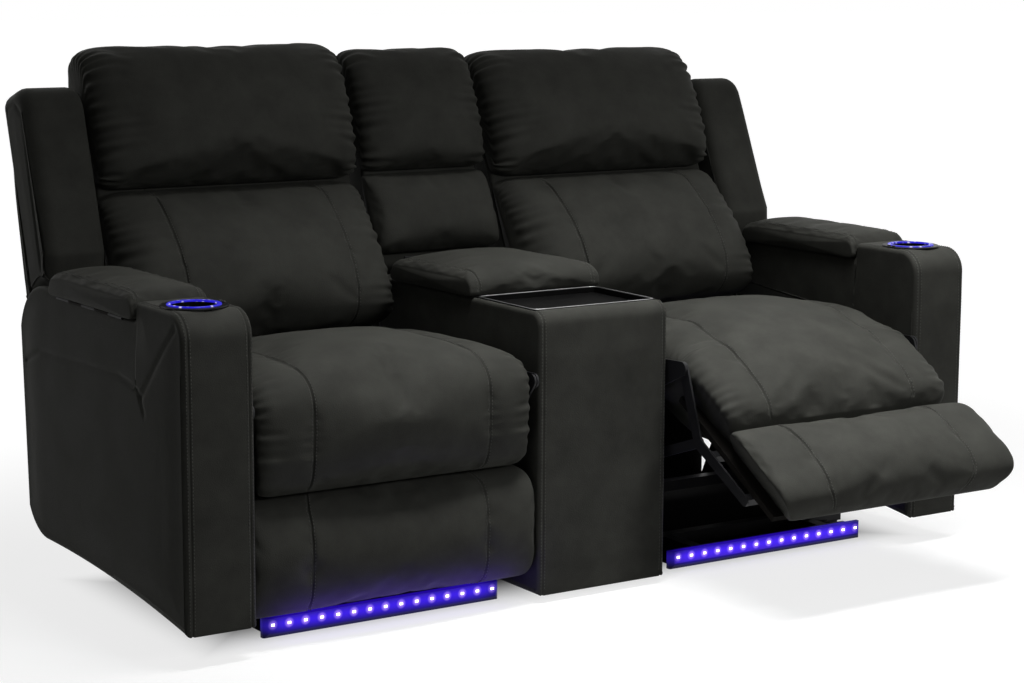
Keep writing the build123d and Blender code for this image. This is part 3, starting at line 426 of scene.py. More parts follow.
def grain_group() -> Tree:
    """Shared surface effect: soft mottling of the tone, uneven gloss and a fine cell grain."""
    found = bpy.data.node_groups.get("Surface grain")
    if found:
        return found
    group = bpy.data.node_groups.new("Surface grain", "ShaderNodeTree")
    face = group.interface
    for label, kind in (
        ("Tone", "Color"), ("Grain", "Float"), ("Mottle", "Float"), ("Roughness", "Float"), ("Stretch", "Vector"),
    ):
        face.new_socket(label, in_out="INPUT", socket_type=f"NodeSocket{kind}")
    for label, kind in (("Color", "Color"), ("Roughness", "Float"), ("Height", "Float")):
        face.new_socket(label, in_out="OUTPUT", socket_type=f"NodeSocket{kind}")
    nodes, links = group.nodes, group.links
    entry, leave = nodes.new("NodeGroupInput"), nodes.new("NodeGroupOutput")
    where = nodes.new("ShaderNodeTexCoord")
    mapped = nodes.new("ShaderNodeMapping")
    links.new(where.outputs["Object"], mapped.inputs["Vector"])
    links.new(entry.outputs["Stretch"], mapped.inputs["Scale"])
    cloud = new_node(
        group, "ShaderNodeTexNoise", Scale=CLOUD_SCALE, Detail=CLOUD_DETAIL, Roughness=CLOUD_ROUGHNESS
    )
    links.new(where.outputs["Object"], cloud.inputs["Vector"])
    cells = nodes.new("ShaderNodeTexVoronoi")
    cells.feature = "SMOOTH_F1"
    fine = new_node(group, "ShaderNodeTexNoise", Detail=FINE_DETAIL)
    for node in (cells, fine):
        links.new(mapped.outputs["Vector"], node.inputs["Vector"])
        links.new(entry.outputs["Grain"], node.inputs["Scale"])
    swing = nodes.new("ShaderNodeMapRange")
    swing.inputs["From Min"].default_value = CLOUD_LOW
    swing.inputs["From Max"].default_value = CLOUD_HIGH
    links.new(cloud.outputs["Fac"], swing.inputs["Value"])
    for kind, goal in (("SUBTRACT", "To Min"), ("ADD", "To Max")):
        links.new(math_node(group, kind, 1.0, entry.outputs["Mottle"]), swing.inputs[goal])
    shade = nodes.new("ShaderNodeVectorMath")
    shade.operation = "SCALE"
    links.new(entry.outputs["Tone"], shade.inputs[0])
    links.new(swing.outputs["Result"], shade.inputs["Scale"])
    links.new(shade.outputs["Vector"], leave.inputs["Color"])
    lowered = math_node(group, "SUBTRACT", entry.outputs["Roughness"], GLOSS_SWING / 2)
    gloss = math_node(group, "MULTIPLY_ADD", cloud.outputs["Fac"], GLOSS_SWING, lowered)
    links.new(gloss, leave.inputs["Roughness"])
    height = math_node(group, "MULTIPLY_ADD", fine.outputs["Fac"], FINE_SHARE, cells.outputs["Distance"])
    links.new(height, leave.inputs["Height"])
    return group


def glow_group(name: str) -> tuple[Tree, bpy.types.Node, bpy.types.Node, bpy.types.Node]:
    """Empty group for a glow, with its colour in and out, and the place on the surface split into axes."""
    group = bpy.data.node_groups.new(name, "ShaderNodeTree")
    group.interface.new_socket("Glow", in_out="INPUT", socket_type="NodeSocketColor")
    group.interface.new_socket("Color", in_out="OUTPUT", socket_type="NodeSocketColor")
    where = group.nodes.new("ShaderNodeTexCoord")
    axes = group.nodes.new("ShaderNodeSeparateXYZ")
    group.links.new(where.outputs["Object"], axes.inputs["Vector"])
    return group, group.nodes.new("NodeGroupInput"), group.nodes.new("NodeGroupOutput"), axes


def math_node(group: Tree, kind: str, *values: Socket | float) -> Socket:
    """One sum in a group: each value is a socket to link or a number to set."""
    node = group.nodes.new("ShaderNodeMath")
    node.operation = kind
    for i, value in enumerate(values):
        if isinstance(value, (int, float)):
            node.inputs[i].default_value = value
        else:
            group.links.new(value, node.inputs[i])
    return node.outputs[0]


def faded(group: Tree, value: Socket, near: float, far: float, low: float) -> Socket:
    """One at a near distance in metres, falling smoothly to a low share at a far one."""
    node = group.nodes.new("ShaderNodeMapRange")
    node.interpolation_type = "SMOOTHSTEP"
    for label, number in (("From Min", near), ("From Max", far), ("To Min", 1.0), ("To Max", low)):
        node.inputs[label].default_value = number
    group.links.new(value, node.inputs["Value"])
    return node.outputs["Result"]


def wash_group() -> Tree:
    """Light of a row of lamps on their rail: a bright line through them, and a pale halo round each."""
    found = bpy.data.node_groups.get("Lamp wash")
    if found:
        return found
    group, entry, leave, axes = glow_group("Lamp wash")
    along = math_node(group, "SUBTRACT", math_node(group, "ABSOLUTE", axes.outputs["X"]), SEAT_X * MM)
    beside = math_node(group, "PINGPONG", along, LAMP_PITCH * MM / 2)
    above = math_node(group, "SUBTRACT", axes.outputs["Z"], LAMP_HEIGHT * MM)
    squares = (math_node(group, "MULTIPLY", v, v) for v in (beside, above))
    round_lamp = math_node(group, "SQRT", math_node(group, "ADD", *squares))
    halo = faded(group, round_lamp, HALO_NEAR, HALO_FAR, 0.0)
    line = faded(group, math_node(group, "ABSOLUTE", above), 0.0, LINE_REACH, LINE_REST)
    ends = faded(group, math_node(group, "ABSOLUTE", along), END_NEAR, END_FAR, END_REST)
    wash = group.nodes.new("ShaderNodeVectorMath")
    wash.operation = "SCALE"
    group.links.new(entry.outputs["Glow"], wash.inputs[0])
    group.links.new(math_node(group, "MULTIPLY", line, ends), wash.inputs["Scale"])
    share = math_node(group, "MULTIPLY", halo, ends)
    group.links.new(mixed(group, share, wash.outputs["Vector"], HALO_TONE), leave.inputs["Color"])
    return group


def speckle_group() -> Tree:
    """Light of a lit ring: its own colour, with white specks at the middles of small cells."""
    found = bpy.data.node_groups.get("Ring speckle")
    if found:
        return found
    group, entry, leave, _ = glow_group("Ring speckle")
    where = group.nodes.new("ShaderNodeTexCoord")
    cells = new_node(group, "ShaderNodeTexVoronoi", Scale=SPECK_SCALE)
    group.links.new(where.outputs["Object"], cells.inputs["Vector"])
    share = faded(group, cells.outputs["Distance"], SPECK_NEAR, SPECK_FAR, 0.0)
    group.links.new(mixed(group, share, entry.outputs["Glow"], SPECK_TONE), leave.inputs["Color"])
    return group


LEATHER = Finish("charcoal_leather", (0.046, 0.0464, 0.0412), 0.6, specular=0.03, grain=620, depth=0.0004)
THREAD = Finish("stitch_thread", (0.085, 0.085, 0.078), 0.7, specular=0.1, grain=2600, depth=0.0002)
# Black of the well linings and the rear boards; on the under-seat boards this black is also painted shade.
BLACK_LINING_AND_SHADE = Finish("black_lining_and_shade", (0.006, 0.006, 0.006), 0.9, specular=0.05, grain=1500, depth=0.0004)
BLACK_STEEL = Finish("black_steel", (0.010, 0.010, 0.011), 0.42, specular=0.2, grain=900, depth=0.0001)
BRIGHT_STEEL = Finish(
    "bright_steel", (0.55, 0.55, 0.56), 0.3, metal=1.0, grain=500, depth=0.00004, stretch=(0.04, 1, 1)
)
HINGE_STEEL = Finish("hinge_steel", (0.008, 0.008, 0.008), 0.6, specular=0.1, grain=500, depth=0.00005)
BLACK_GLOSS = Finish("black_gloss", (0.005, 0.005, 0.005), 0.3, specular=0.04, grain=300, depth=0.00003)
BLACK_PLASTIC = Finish("black_plastic", (0.010, 0.010, 0.010), 0.5, specular=0.2, grain=1400, depth=0.0001)
BOARD = Finish("board", (0.010, 0.009, 0.008), 0.85, specular=0.05, grain=160, depth=0.0004, stretch=(0.08, 1, 1))
PALE_TRIM = Finish("bright_steel_trim", (0.3, 0.3, 0.3), 0.35, metal=1.0, grain=400, depth=0.00003)
LAMP_BLUE = Finish("lamp_blue", (0.6, 0.6, 0.9), 0.3, glow=(0.8, 0.76, 1.0), strength=4.0, depth=0.0)
RING_BLUE = Finish(
    "ring_blue", (0.01, 0.01, 0.05), 0.3, specular=0.1, depth=0.0, glow=(0.018, 0.012, 0.55), strength=1.0,
    lit=Lit.SPECKLE,
)
RAIL_GLOW = Finish(
    "lit_rail", (0.006, 0.006, 0.012), 0.4, specular=0.1, depth=0.0001, glow=(0.035, 0.006, 0.75), strength=1.0,
    lit=Lit.WASH,
)

NODE_FINISH = {
    "base_frames": BLACK_STEEL, "glides": BLACK_PLASTIC, "light_rails": RAIL_GLOW, "lamps": LAMP_BLUE,
    "cup_holders": BLACK_GLOSS, "cup_lights": RING_BLUE, "arm_lid_hinges": HINGE_STEEL,
    "console_tray": BLACK_GLOSS, "console_hinge": HINGE_STEEL, "console_lid_board": BOARD,
    "lid_board": BOARD, "open_button": BLACK_PLASTIC, "close_button": BLACK_PLASTIC,
    "side_plates": BLACK_STEEL, "seat_frame": BLACK_STEEL, "seat_springs": BRIGHT_STEEL,
    "actuator": BLACK_PLASTIC, "torque_crank": BLACK_STEEL, "lift_struts": BLACK_STEEL,
    "drive_block": BLACK_PLASTIC, "footrest_frame": BLACK_STEEL, "footrest_board": BOARD,
    "back_hinges": BLACK_STEEL,
}


def dress(piece: Object, finish: Finish) -> None:
    """Give a new piece its finish and log its faces."""
    piece.data.materials.clear()
    piece.data.materials.append(finish.material())
    log.info("%s in %s, %d faces", piece.name, finish.name, len(piece.data.polygons))


# Padded pieces


SEAM_NEAR = np.array([-7.0, -4.2, -2.2, -0.9, 0.9, 2.2, 4.2, 7.0])
SEAM_CLEAR = 9.0
THREAD_OFF = 4.2
CAP_SHRINK = np.array([0.12, 0.3, 0.52, 0.76, 1.0])
TAPER_FRONT, TAPER_TOP, TAPER_FADE = 38.0, 425.0, 50.0


@dataclass
class Pad:
    """A padded piece: an outline carried across its width, crowned, and drawn in at both sides.

    Each row of the outline gives u and v, how far the point moves in u and v for each millimetre
    that the sides are drawn in, and how far it moves for each millimetre of crown.
    """

    name: str
    outline: list[tuple[float, ...]]
    drawn: Drawn
    carrier: Carrier
    half: float
    edge: float
    draw: float
    crown: float
    seams: tuple[float, ...] = ()
    groove: float = 3.2
    flat_middle: float = 2.6
    end_puff: float = 5.0
    per: int = 5
    pitch: float = 11.0
    gathers: float = 0.0
    firm: float = 0.6
    nodes: tuple[str, ...] = ()
    bend: tuple[Pair, Pair] | None = None
    taper: float = 0.0
    fold_lengths: Triple = (3.7, 6.3, 31.0)
    fold_reach: Triple = (30.0, 20.0, 23.0)

    def stations(self) -> Array:
        """Places across the half widths, close together at the seams and round the edges."""
        flat = self.half - self.edge
        middle = np.linspace(-flat, flat, int(2 * flat / self.pitch) + 1)
        seams = np.array([sign * s for s in self.seams for sign in (-1, 1)])
        if len(seams):
            middle = middle[np.abs(middle[:, None] - seams).min(axis=1) > SEAM_CLEAR]
            middle = np.concatenate([middle, (seams[:, None] + SEAM_NEAR).ravel(), seams])
        turn = flat + self.edge * np.sin(np.linspace(0, pi / 2, 8)[1:])
        return np.unique(np.concatenate([middle, turn, -turn]).round(3))

    def surface(self, seat: Seat, centre: float) -> tuple[Array, Array, Array, Array]:
        """Work out the closed surface.

        Args:
            seat: The seat that the piece belongs to.
            centre: x of the middle of the piece.

        Returns:
            The grid of points at rest, the x of each row from the piece's middle, the share of the
            crown at each point, and the points that stay held.
        """
        x = self.stations()
        rows = np.array(self.outline)
        turn = np.clip((np.abs(x) - (self.half - self.edge)) / self.edge, 0, 1)
        inset = self.draw * (1 - np.sqrt(1 - turn**2))
        share = 1 - (np.abs(x) / self.half) ** self.flat_middle
        outline = rows[None, :, :2] + inset[:, None, None] * rows[None, :, 2:4]
        outline = outline + self.crown * share[:, None, None] * rows[None, :, 4:6]
        loops = smooth_loop(outline, self.per)
        crowned = np.hypot(rows[:, 4], rows[:, 5])
        lift = smooth_loop(np.repeat(crowned[:, None], 2, axis=1), self.per)[:, 0]
        middle = loops[0].mean(axis=0)
        cap = middle + (1 - CAP_SHRINK[:, None, None]) * (loops[0] - middle)
        loops = np.concatenate([cap[::-1], loops, cap])
        puff = self.end_puff * np.sin(CAP_SHRINK * pi / 2)
        x = across = np.concatenate([-(self.half + puff[::-1]), x, self.half + puff])
        lift = np.broadcast_to(np.clip(lift, 0, 1), loops.shape[:2])
        flat = self.drawn.flat(loops)
        x = x[:, None] * (1 - self.narrowed(flat) / self.half)
        if self.bend:
            flat = self.bent(flat, seat)
        else:
            flat = self.carrier.carried(flat, seat)
        points = in_row(centre + seat.side * x, flat)
        return points, across, lift, self.held(across, lift)

    def narrowed(self, flat: Array) -> Array:
        """How far the sides stand in: more towards the board behind, and none above the hinge."""
        behind = np.clip((flat[..., 0] - TAPER_FRONT) / (PAD_BACK - TAPER_FRONT), 0, 1)
        below = np.clip((TAPER_TOP - flat[..., 1]) / TAPER_FADE, 0, 1)
        return self.taper * behind * below * below * (3 - 2 * below)

    def bent(self, flat: Array, seat: Seat) -> Array:
        """Carry a skin across the footrest hinge: the share of the angle grows from start to end."""
        start, end = (np.array(p) for p in self.bend)
        run = end - start
        t = np.clip(((flat - start) @ run) / (run @ run), 0, 1)
        w = t * t * (3 - 2 * t)
        return turned(flat, HINGE, w * seat.opened) - np.array([seat.travel, 0.0])

    def held(self, x: Array, lift: Array) -> Array:
        """One where the board behind, a side or a seam holds the cover."""
        rows = np.abs(x)[:, None] * np.ones_like(lift)
        held = (lift < 0.02) | (rows > self.half - 0.5)
        for seam in self.seams:
            held |= np.abs(rows - seam) < 0.5
        return held.astype(float)

    def build(self, seat: Seat, centre: float) -> Object:
        """Make the piece, with its seams pressed in and its gathers.

        Args:
            seat: The seat that the piece belongs to.
            centre: x of the middle of the piece.

        Returns:
            The object, before it swells.
        """
        points, x, lift, held = self.surface(seat, centre)
        normal = grid_normals(points, closed=True)
        away = np.abs(x)[:, None]
        press = np.zeros_like(lift)
        for seam in self.seams:
            press = press - self.groove * bell(away - seam, 3.0) * np.clip(lift * 3, 0, 1)
        if self.gathers:
            press = press + self.gathered(x, lift, points)
        points = points + normal * press[..., None]
        label = f"{seat.name}_{self.name}"
        return new_piece(label, [(points, grid_faces(*points.shape[:2], closed=True))], held)

    def gathered(self, x: Array, lift: Array, points: Array) -> Array:
        """Folds that run in from both sides: waves along the outline that die away from the edge."""
        steps = np.linalg.norm(np.diff(points, axis=1, append=points[:, :1]), axis=-1)
        run = np.cumsum(steps[len(steps) // 2])[None, :]
        fine, broad, drift = (run / length for length in self.fold_lengths)
        wave = np.sin(fine + 1.6 * np.sin(drift)) + 0.7 * np.sin(broad + 2.0)
        inward = self.half - np.abs(x)[:, None]
        mean, swing, length = self.fold_reach
        reach = mean + swing * np.sin(run / length)
        fade = np.exp(-np.clip(inward, 0, None) / reach) * np.clip(inward / 8.0 + 0.3, 0, 1)
        return self.gathers * wave * fade * np.clip(lift * 2.5, 0, 1)


HEAD_OUTLINE = [
    (389, -20, 0.4, 0, 0, 0), (383, 0, 0.4, -0.2, 0, 0.05), (387, 25, 0.4, -0.7, -0.1, 0.4),
    (408, 41, 0.1, -1, 0, 0.8), (450, 48, 0, -1, 0, 1), (503, 49, 0, -1, 0, 1), (556, 45, 0, -1, 0, 0.9),
    (606, 35, -0.1, -0.9, 0.1, 0.65), (645, 13, -0.4, -0.6, 0.2, 0.3), (669, -20, -0.6, -0.3, 0.2, 0.1),
    (673, -52, -0.6, 0, 0.1, 0), (658, -82, -0.4, 0.3, 0, 0), (626, -92, 0, 0.4, 0, 0), (606, -90, 0, 0.2, 0, 0),
    (604, -60, 0, 0, 0, 0), (604, -24, 0, 0, 0, 0), (530, -20, 0, 0, 0, 0), (450, -20, 0, 0, 0, 0),
]
LUMBAR_OUTLINE = [
    (72, -20, 0.2, 0, 0, 0), (64, 16, 0.4, -0.1, 0, 0), (67, 60, 0.4, -0.4, 0, 0.1), (86, 96, 0.2, -0.8, 0, 0.35),
    (128, 108, 0, -1, 0, 0.7), (180, 100, 0, -1, 0.2, 0.98), (232, 85, 0, -1, 0.25, 1), (282, 64, 0, -1, 0.2, 0.85),
    (328, 43, -0.1, -0.9, 0.1, 0.5), (359, 20, -0.3, -0.6, 0, 0.15), (374, -6, -0.4, -0.2, 0, 0),
    (372, -20, -0.3, 0, 0, 0), (300, -20, 0, 0, 0, 0), (220, -20, 0, 0, 0, 0), (140, -20, 0, 0, 0, 0),
]
SEAT_OUTLINE = [
    (474, 440, 0, 0, 0, 0), (473, 458, -0.2, -0.3, 0, 0), (452, 471, -0.2, -1, 0, 0.15), (400, 474, 0, -1, 0, 0.55),
    (330, 475, 0, -1, 0, 0.9), (260, 476, 0, -1, 0, 1), (190, 477, 0, -1, 0, 1), (130, 478, 0, -1, 0, 0.9),
    (80, 476, 0.2, -1, -0.15, 0.7), (46, 464, 0.6, -0.7, -0.4, 0.5), (28, 440, 0.9, -0.3, -0.55, 0.25),
    (24, 404, 1, 0, -0.55, 0), (25, 364, 1, 0, -0.55, 0), (27, 324, 1, 0.1, -0.5, 0), (35, 291, 0.8, 0.3, -0.3, 0),
    (54, 273, 0.4, 0.4, 0, 0), (82, 271, 0, 0.2, 0, 0), (104, 280, 0, 0, 0, 0), (106, 330, 0, 0, 0, 0),
    (106, 385, 0, 0, 0, 0), (104, 438, 0, 0, 0, 0), (160, 448, 0, 0, 0, 0), (240, 438, 0, 0, 0, 0),
    (320, 437, 0, 0, 0, 0), (400, 437, 0, 0, 0, 0),
]
FOOT_OUTLINE = [
    (66, 0, 0.3, 0, 0, 0), (54, 26, 0.4, -0.1, 0, 0.05), (59, 56, 0.3, -0.6, 0, 0.3), (90, 71, 0, -1, 0, 0.75),
    (138, 74, 0, -1, 0, 1), (184, 74, 0, -1, 0, 1), (224, 70, 0, -1, 0, 0.75), (254, 57, -0.3, -0.7, 0, 0.3),
    (268, 32, -0.3, -0.2, 0, 0.05), (267, 12, -0.3, 0, 0, 0), (258, 0, -0.3, 0, 0, 0), (200, 0, 0, 0, 0, 0),
    (135, 0, 0, 0, 0, 0),
]
CONSOLE_PAD_OUTLINE = [
    (222, -20, 0.2, 0, 0, 0), (216, 4, 0.4, -0.2, 0, 0), (226, 27, 0.2, -0.8, 0, 0.3), (258, 33, 0, -1, 0, 0.9),
    (296, 30, 0, -1, 0, 1), (334, 23, 0, -1, 0, 0.9), (366, 12, -0.2, -0.8, 0, 0.35), (384, -6, -0.4, -0.2, 0, 0),
    (382, -20, -0.2, 0, 0, 0), (330, -20, 0, 0, 0, 0), (275, -20, 0, 0, 0, 0),
]
CONSOLE_HEAD_OUTLINE = [
    (400, -20, 0.4, 0, 0, 0), (394, -4, 0.4, -0.2, 0, 0.05), (399, 14, 0.4, -0.7, -0.1, 0.4),
    (422, 27, 0.1, -1, 0, 0.8), (462, 31, 0, -1, 0, 1), (508, 31, 0, -1, 0, 1), (554, 27, 0, -1, 0, 0.9),
    (600, 19, -0.1, -0.9, 0.1, 0.65), (634, 1, -0.4, -0.6, 0.2, 0.3), (655, -24, -0.6, -0.3, 0.2, 0.1),
    (659, -52, -0.6, 0, 0.1, 0), (647, -80, -0.4, 0.3, 0, 0), (622, -90, 0, 0.4, 0, 0), (606, -88, 0, 0.2, 0, 0),
    (604, -60, 0, 0, 0, 0), (604, -24, 0, 0, 0, 0), (530, -20, 0, 0, 0, 0), (460, -20, 0, 0, 0, 0),
]
CONSOLE_LID_OUTLINE = [
    (576, 561, -0.2, 0, 0, 0), (576, 588, -0.4, -0.3, 0, 0), (560, 602, -0.2, -1, 0, 0.2), (510, 604, 0, -1, 0, 0.8),
    (450, 604, 0, -1, 0, 1), (390, 604, 0, -1, 0, 1), (330, 605, 0, -1, 0, 0.9), (296, 604, 0.1, -1, -0.1, 0.5),
    (276, 593, 0.4, -0.5, -0.3, 0.2), (269, 577, 0.4, -0.1, -0.2, 0), (275, 562, 0.4, 0, 0, 0),
    (330, 561, 0, 0, 0, 0), (400, 561, 0, 0, 0, 0), (480, 561, 0, 0, 0, 0),
]
ARM_LID_OUTLINE = [
    (566, 588, -0.2, 0, 0, 0), (566, 609, -0.4, -0.3, 0, 0), (550, 626, -0.2, -1, 0, 0.2), (500, 631, 0, -1, 0, 0.8),
    (430, 631, 0, -1, 0, 1), (360, 631, 0, -1, 0, 1), (290, 631, 0, -1, 0, 1), (230, 631, 0.1, -1, 0, 0.7),
    (203, 627, 0.3, -0.8, 0, 0.3), (191, 610, 0.4, -0.2, 0, 0), (192, 588, 0.4, 0, 0, 0), (260, 587.4, 0, 0, 0, 0),
    (340, 587.4, 0, 0, 0, 0), (420, 587.4, 0, 0, 0, 0), (500, 587.4, 0, 0, 0, 0),
]

SEAM = 183.0
BEND = ((170.0, 500.0), (22.0, 366.0))
SEAT_PADS = (
    Pad(
        "headrest", HEAD_OUTLINE, Drawn.LEANING, Carrier.BACK, 284, 46, 38, 26, gathers=3.6, per=10,
        nodes=("headrest",),
    ),
    Pad(
        "lumbar", LUMBAR_OUTLINE, Drawn.LEANING, Carrier.BACK, 287, 60, 50, 24, (SEAM,), gathers=2.6, per=9,
        nodes=("lumbar",),
    ),
    Pad(
        "seat", SEAT_OUTLINE, Drawn.SIDE, Carrier.CARRIAGE, 288, 34, 24, 30, (SEAM,), flat_middle=3.0,
        gathers=2.2, per=8, nodes=("seat_cushion", "seat_front"), bend=BEND, taper=40.0,
    ),
    Pad(
        "footrest_pad", FOOT_OUTLINE, Drawn.UPRIGHT, Carrier.FOOTREST, 300, 16, 10, 13, (SEAM,), flat_middle=6.0,
        end_puff=1.5, nodes=("footrest_pad",), taper=46.0,
    ),
)
CONSOLE_PADS = (
    Pad(
        "lower_pad", CONSOLE_PAD_OUTLINE, Drawn.LEANING, Carrier.BASE, 146, 26, 18, 12,
        nodes=("console_lower_pad",), pitch=9,
    ),
    Pad(
        "head_pad", CONSOLE_HEAD_OUTLINE, Drawn.LEANING, Carrier.BASE, 148, 34, 26, 18, gathers=2.8, per=10,
        nodes=("console_head_pad",), pitch=9,
    ),
    Pad(
        "lid_pad", CONSOLE_LID_OUTLINE, Drawn.SIDE, Carrier.COVER, 154, 16, 12, 10, (134.0,), groove=1.6,
        flat_middle=4.0, nodes=("console_lid",), pitch=9,
    ),
)
ARM_LID = Pad(
    "lid_pad", ARM_LID_OUTLINE, Drawn.SIDE, Carrier.COVER, 75, 14, 11, 9, (62.0,), groove=1.4, flat_middle=4.0,
    nodes=("arm_lid",), pitch=8,
)


class Upholstery:
    """All the padded pieces: they are built, swell together, and then get their stitching."""

    frames = 18
    pressure = 4.0
    cap = 24.0

    def __init__(self) -> None:
        """Start with no pieces."""
        self.made: list[tuple[Object, Pad, Seat, float]] = []

    def add(self, pad: Pad, seat: Seat, centre: float) -> None:
        """Build one padded piece."""
        self.made.append((pad.build(seat, centre), pad, seat, centre))

    def swell(self) -> None:
        """Blow the covers up a little as cloth, held at their seams and boards, and keep the result."""
        scene = bpy.context.scene
        for piece, *_ in self.made:
            self.as_cloth(piece)
        for step in range(1, self.frames + 1):
            scene.frame_set(step)
        graph = bpy.context.evaluated_depsgraph_get()
        for piece, *_ in self.made:
            rest, grown = coordinates(piece.data), coordinates(piece.evaluated_get(graph).data)
            move = np.nan_to_num(grown - rest)
            far = np.linalg.norm(move, axis=1, keepdims=True)
            move *= np.minimum(1.0, self.cap * MM / np.maximum(far, 1e-9))
            log.info("%s swelled by %.1f mm at most", piece.name, far.max() / MM)
            piece.modifiers.clear()
            piece.vertex_groups.clear()
            piece.data.vertices.foreach_set("co", (rest + move).astype(np.float32).ravel())
            piece.data.update()
        scene.frame_set(1)

    def as_cloth(self, piece: Object) -> None:
        """Give a piece the cloth settings of a leather cover over foam."""
        hold = np.zeros(len(piece.data.vertices), np.float32)
        piece.data.attributes["hold"].data.foreach_get("value", hold)
        group = piece.vertex_groups.new(name="hold")
        group.add(np.flatnonzero(hold > 0.5).tolist(), 1.0, "REPLACE")
        cloth = piece.modifiers.new("Swell", "CLOTH")
        cloth.settings.quality = 4
        cloth.settings.mass = 0.4
        cloth.settings.tension_stiffness = cloth.settings.compression_stiffness = 30.0
        cloth.settings.shear_stiffness = 12.0
        cloth.settings.bending_stiffness = 2.0
        cloth.settings.use_pressure = True
        cloth.settings.uniform_pressure_force = self.pressure
        cloth.settings.vertex_group_mass = group.name
        cloth.settings.shrink_min = -0.01
        cloth.settings.effector_weights.gravity = 0.0
        cloth.collision_settings.use_collision = False
        cloth.point_cache.frame_end = self.frames

    def finish(self) -> None:
        """Round off each piece, dress it, hide the CAD parts that it replaces, and hang it on its carrier."""
        for piece, pad, seat, _ in self.made:
            round_off = piece.modifiers.new("Rounding", "SUBSURF")
            round_off.levels = round_off.render_levels = 1
            dress(piece, LEATHER)
            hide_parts(*(seat.node(name) for name in pad.nodes))
            self.carry(piece, pad, seat)

    def carry(self, piece: Object, pad: Pad, seat: Seat) -> None:
        """Let a piece ride its carrier; a piece that spans the footrest hinge is only fixed in place where it lies.
        """
        if not pad.bend:
            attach(piece, pad.carrier.body(seat))
            return
        Carrier.CARRIAGE.body(seat)
        Carrier.FOOTREST.body(seat)
        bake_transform(piece)

    def stitch(self) -> None:
        """Lay two rows of topstitching along the seams of each pad."""
        for piece, pad, seat, centre in self.made:
            if not pad.seams:
                continue
            points, x, lift, _ = pad.surface(seat, centre)
            rows, cols = points.shape[:2]
            now, facing = (a.reshape(rows, cols, 3) for a in grid_of(piece, rows * cols))
            threads = Stitching(f"{piece.name}_stitching")
            shown = lift[0] > 0.04
            first = int(np.flatnonzero(shown & ~np.roll(shown, 1))[0])
            order = np.roll(np.arange(cols), -first)
            order = order[shown[order]]
            sides = (-1, 1)
            offs = (-THREAD_OFF, THREAD_OFF)
            for place in (sign * (s + off) for s in pad.seams for sign in sides for off in offs):
                i = int(np.abs(x - place).argmin())
                threads.add(now[i, order], facing[i, order])
            self.carry(threads.build(), pad, seat)


def grid_of(piece: Object, count: int) -> tuple[Array, Array]:
    """Points and normals of a piece in the order of the grid that it was made from, in millimetres."""
    mesh = piece.data
    place = np.zeros(len(mesh.vertices), np.int32)
    mesh.attributes["place"].data.foreach_get("value", place)
    normals = np.zeros(len(mesh.vertices) * 3, np.float32)
    mesh.vertex_normals.foreach_get("vector", normals)
    points, facing = np.full((count, 3), np.nan), np.zeros((count, 3))
    points[place] = coordinates(mesh) / MM
    facing[place] = normals.reshape(-1, 3)
    return points, facing


def coordinates(mesh: bpy.types.Mesh) -> Array:
    """Points of a mesh as an array."""
    flat = np.zeros(len(mesh.vertices) * 3, np.float32)
    mesh.vertices.foreach_get("co", flat)
    return flat.reshape(-1, 3).astype(float)


# Covered frames: arms, wings, console and backs


def offset(loop: Array, inset: Array | float) -> Array:
    """Closed outlines moved inwards: each point along the normal of the chord between its neighbours."""
    chord = np.roll(loop, -1, axis=-2) - np.roll(loop, 1, axis=-2)
    chord /= np.maximum(np.linalg.norm(chord, axis=-1, keepdims=True), 1e-9)
    return loop + inset * np.stack([chord[..., 1], -chord[..., 0]], axis=-1)


def from_path(points: Array, path: list[Pair]) -> Array:
    """Distance of each point from a path of straight runs: the least of those to its runs."""
    best = np.full(points.shape[:-1], np.inf)
    for a, b in zip(np.array(path[:-1], float), np.array(path[1:], float)):
        run = b - a
        t = np.clip(((points - a) @ run) / (run @ run), 0, 1)
        best = np.minimum(best, np.linalg.norm(points - a - t[..., None] * run, axis=-1))
    return best


@dataclass
class Sides:
    """Outline of a covered frame as four runs: up the front, along the top, down the rear, back below."""

    front: Array
    top: Array
    rear: Array
    low: Array

    def loop(self) -> Array:
        """The closed outline, clockwise from the front's foot."""
        return np.concatenate([self.front[:-1], self.top[:-1], self.rear[:-1], self.low[:-1]])

    def split(self, loop: Array) -> tuple[Array, Array, Array, Array]:
        """A moved outline's runs as the edges of a panel: front, rear, low and high."""
        n = np.cumsum([len(self.front) - 1, len(self.top) - 1, len(self.rear) - 1])
        whole = np.concatenate([loop, loop[:1]])
        front, top = whole[: n[0] + 1], whole[n[0] : n[1] + 1]
        rear, low = whole[n[1] : n[2] + 1], whole[n[2] :]
        return front, rear[::-1], low[::-1], top


BAND_NEAR = np.array([-4.0, -2.2, -0.9, 0.0, 0.9, 2.2, 4.0])
BAND_CLEAR = 5.0
BAND_PRESS, BAND_WIDTH = 2.0, 1.6
SIDE_PRESS, SIDE_WIDTH = 3.0, 4.5
EDGE_KEEP, PUFF_REACH = 6.0, 45.0
FRONT_FADE = 0.12
STEP_GAP = 0.02


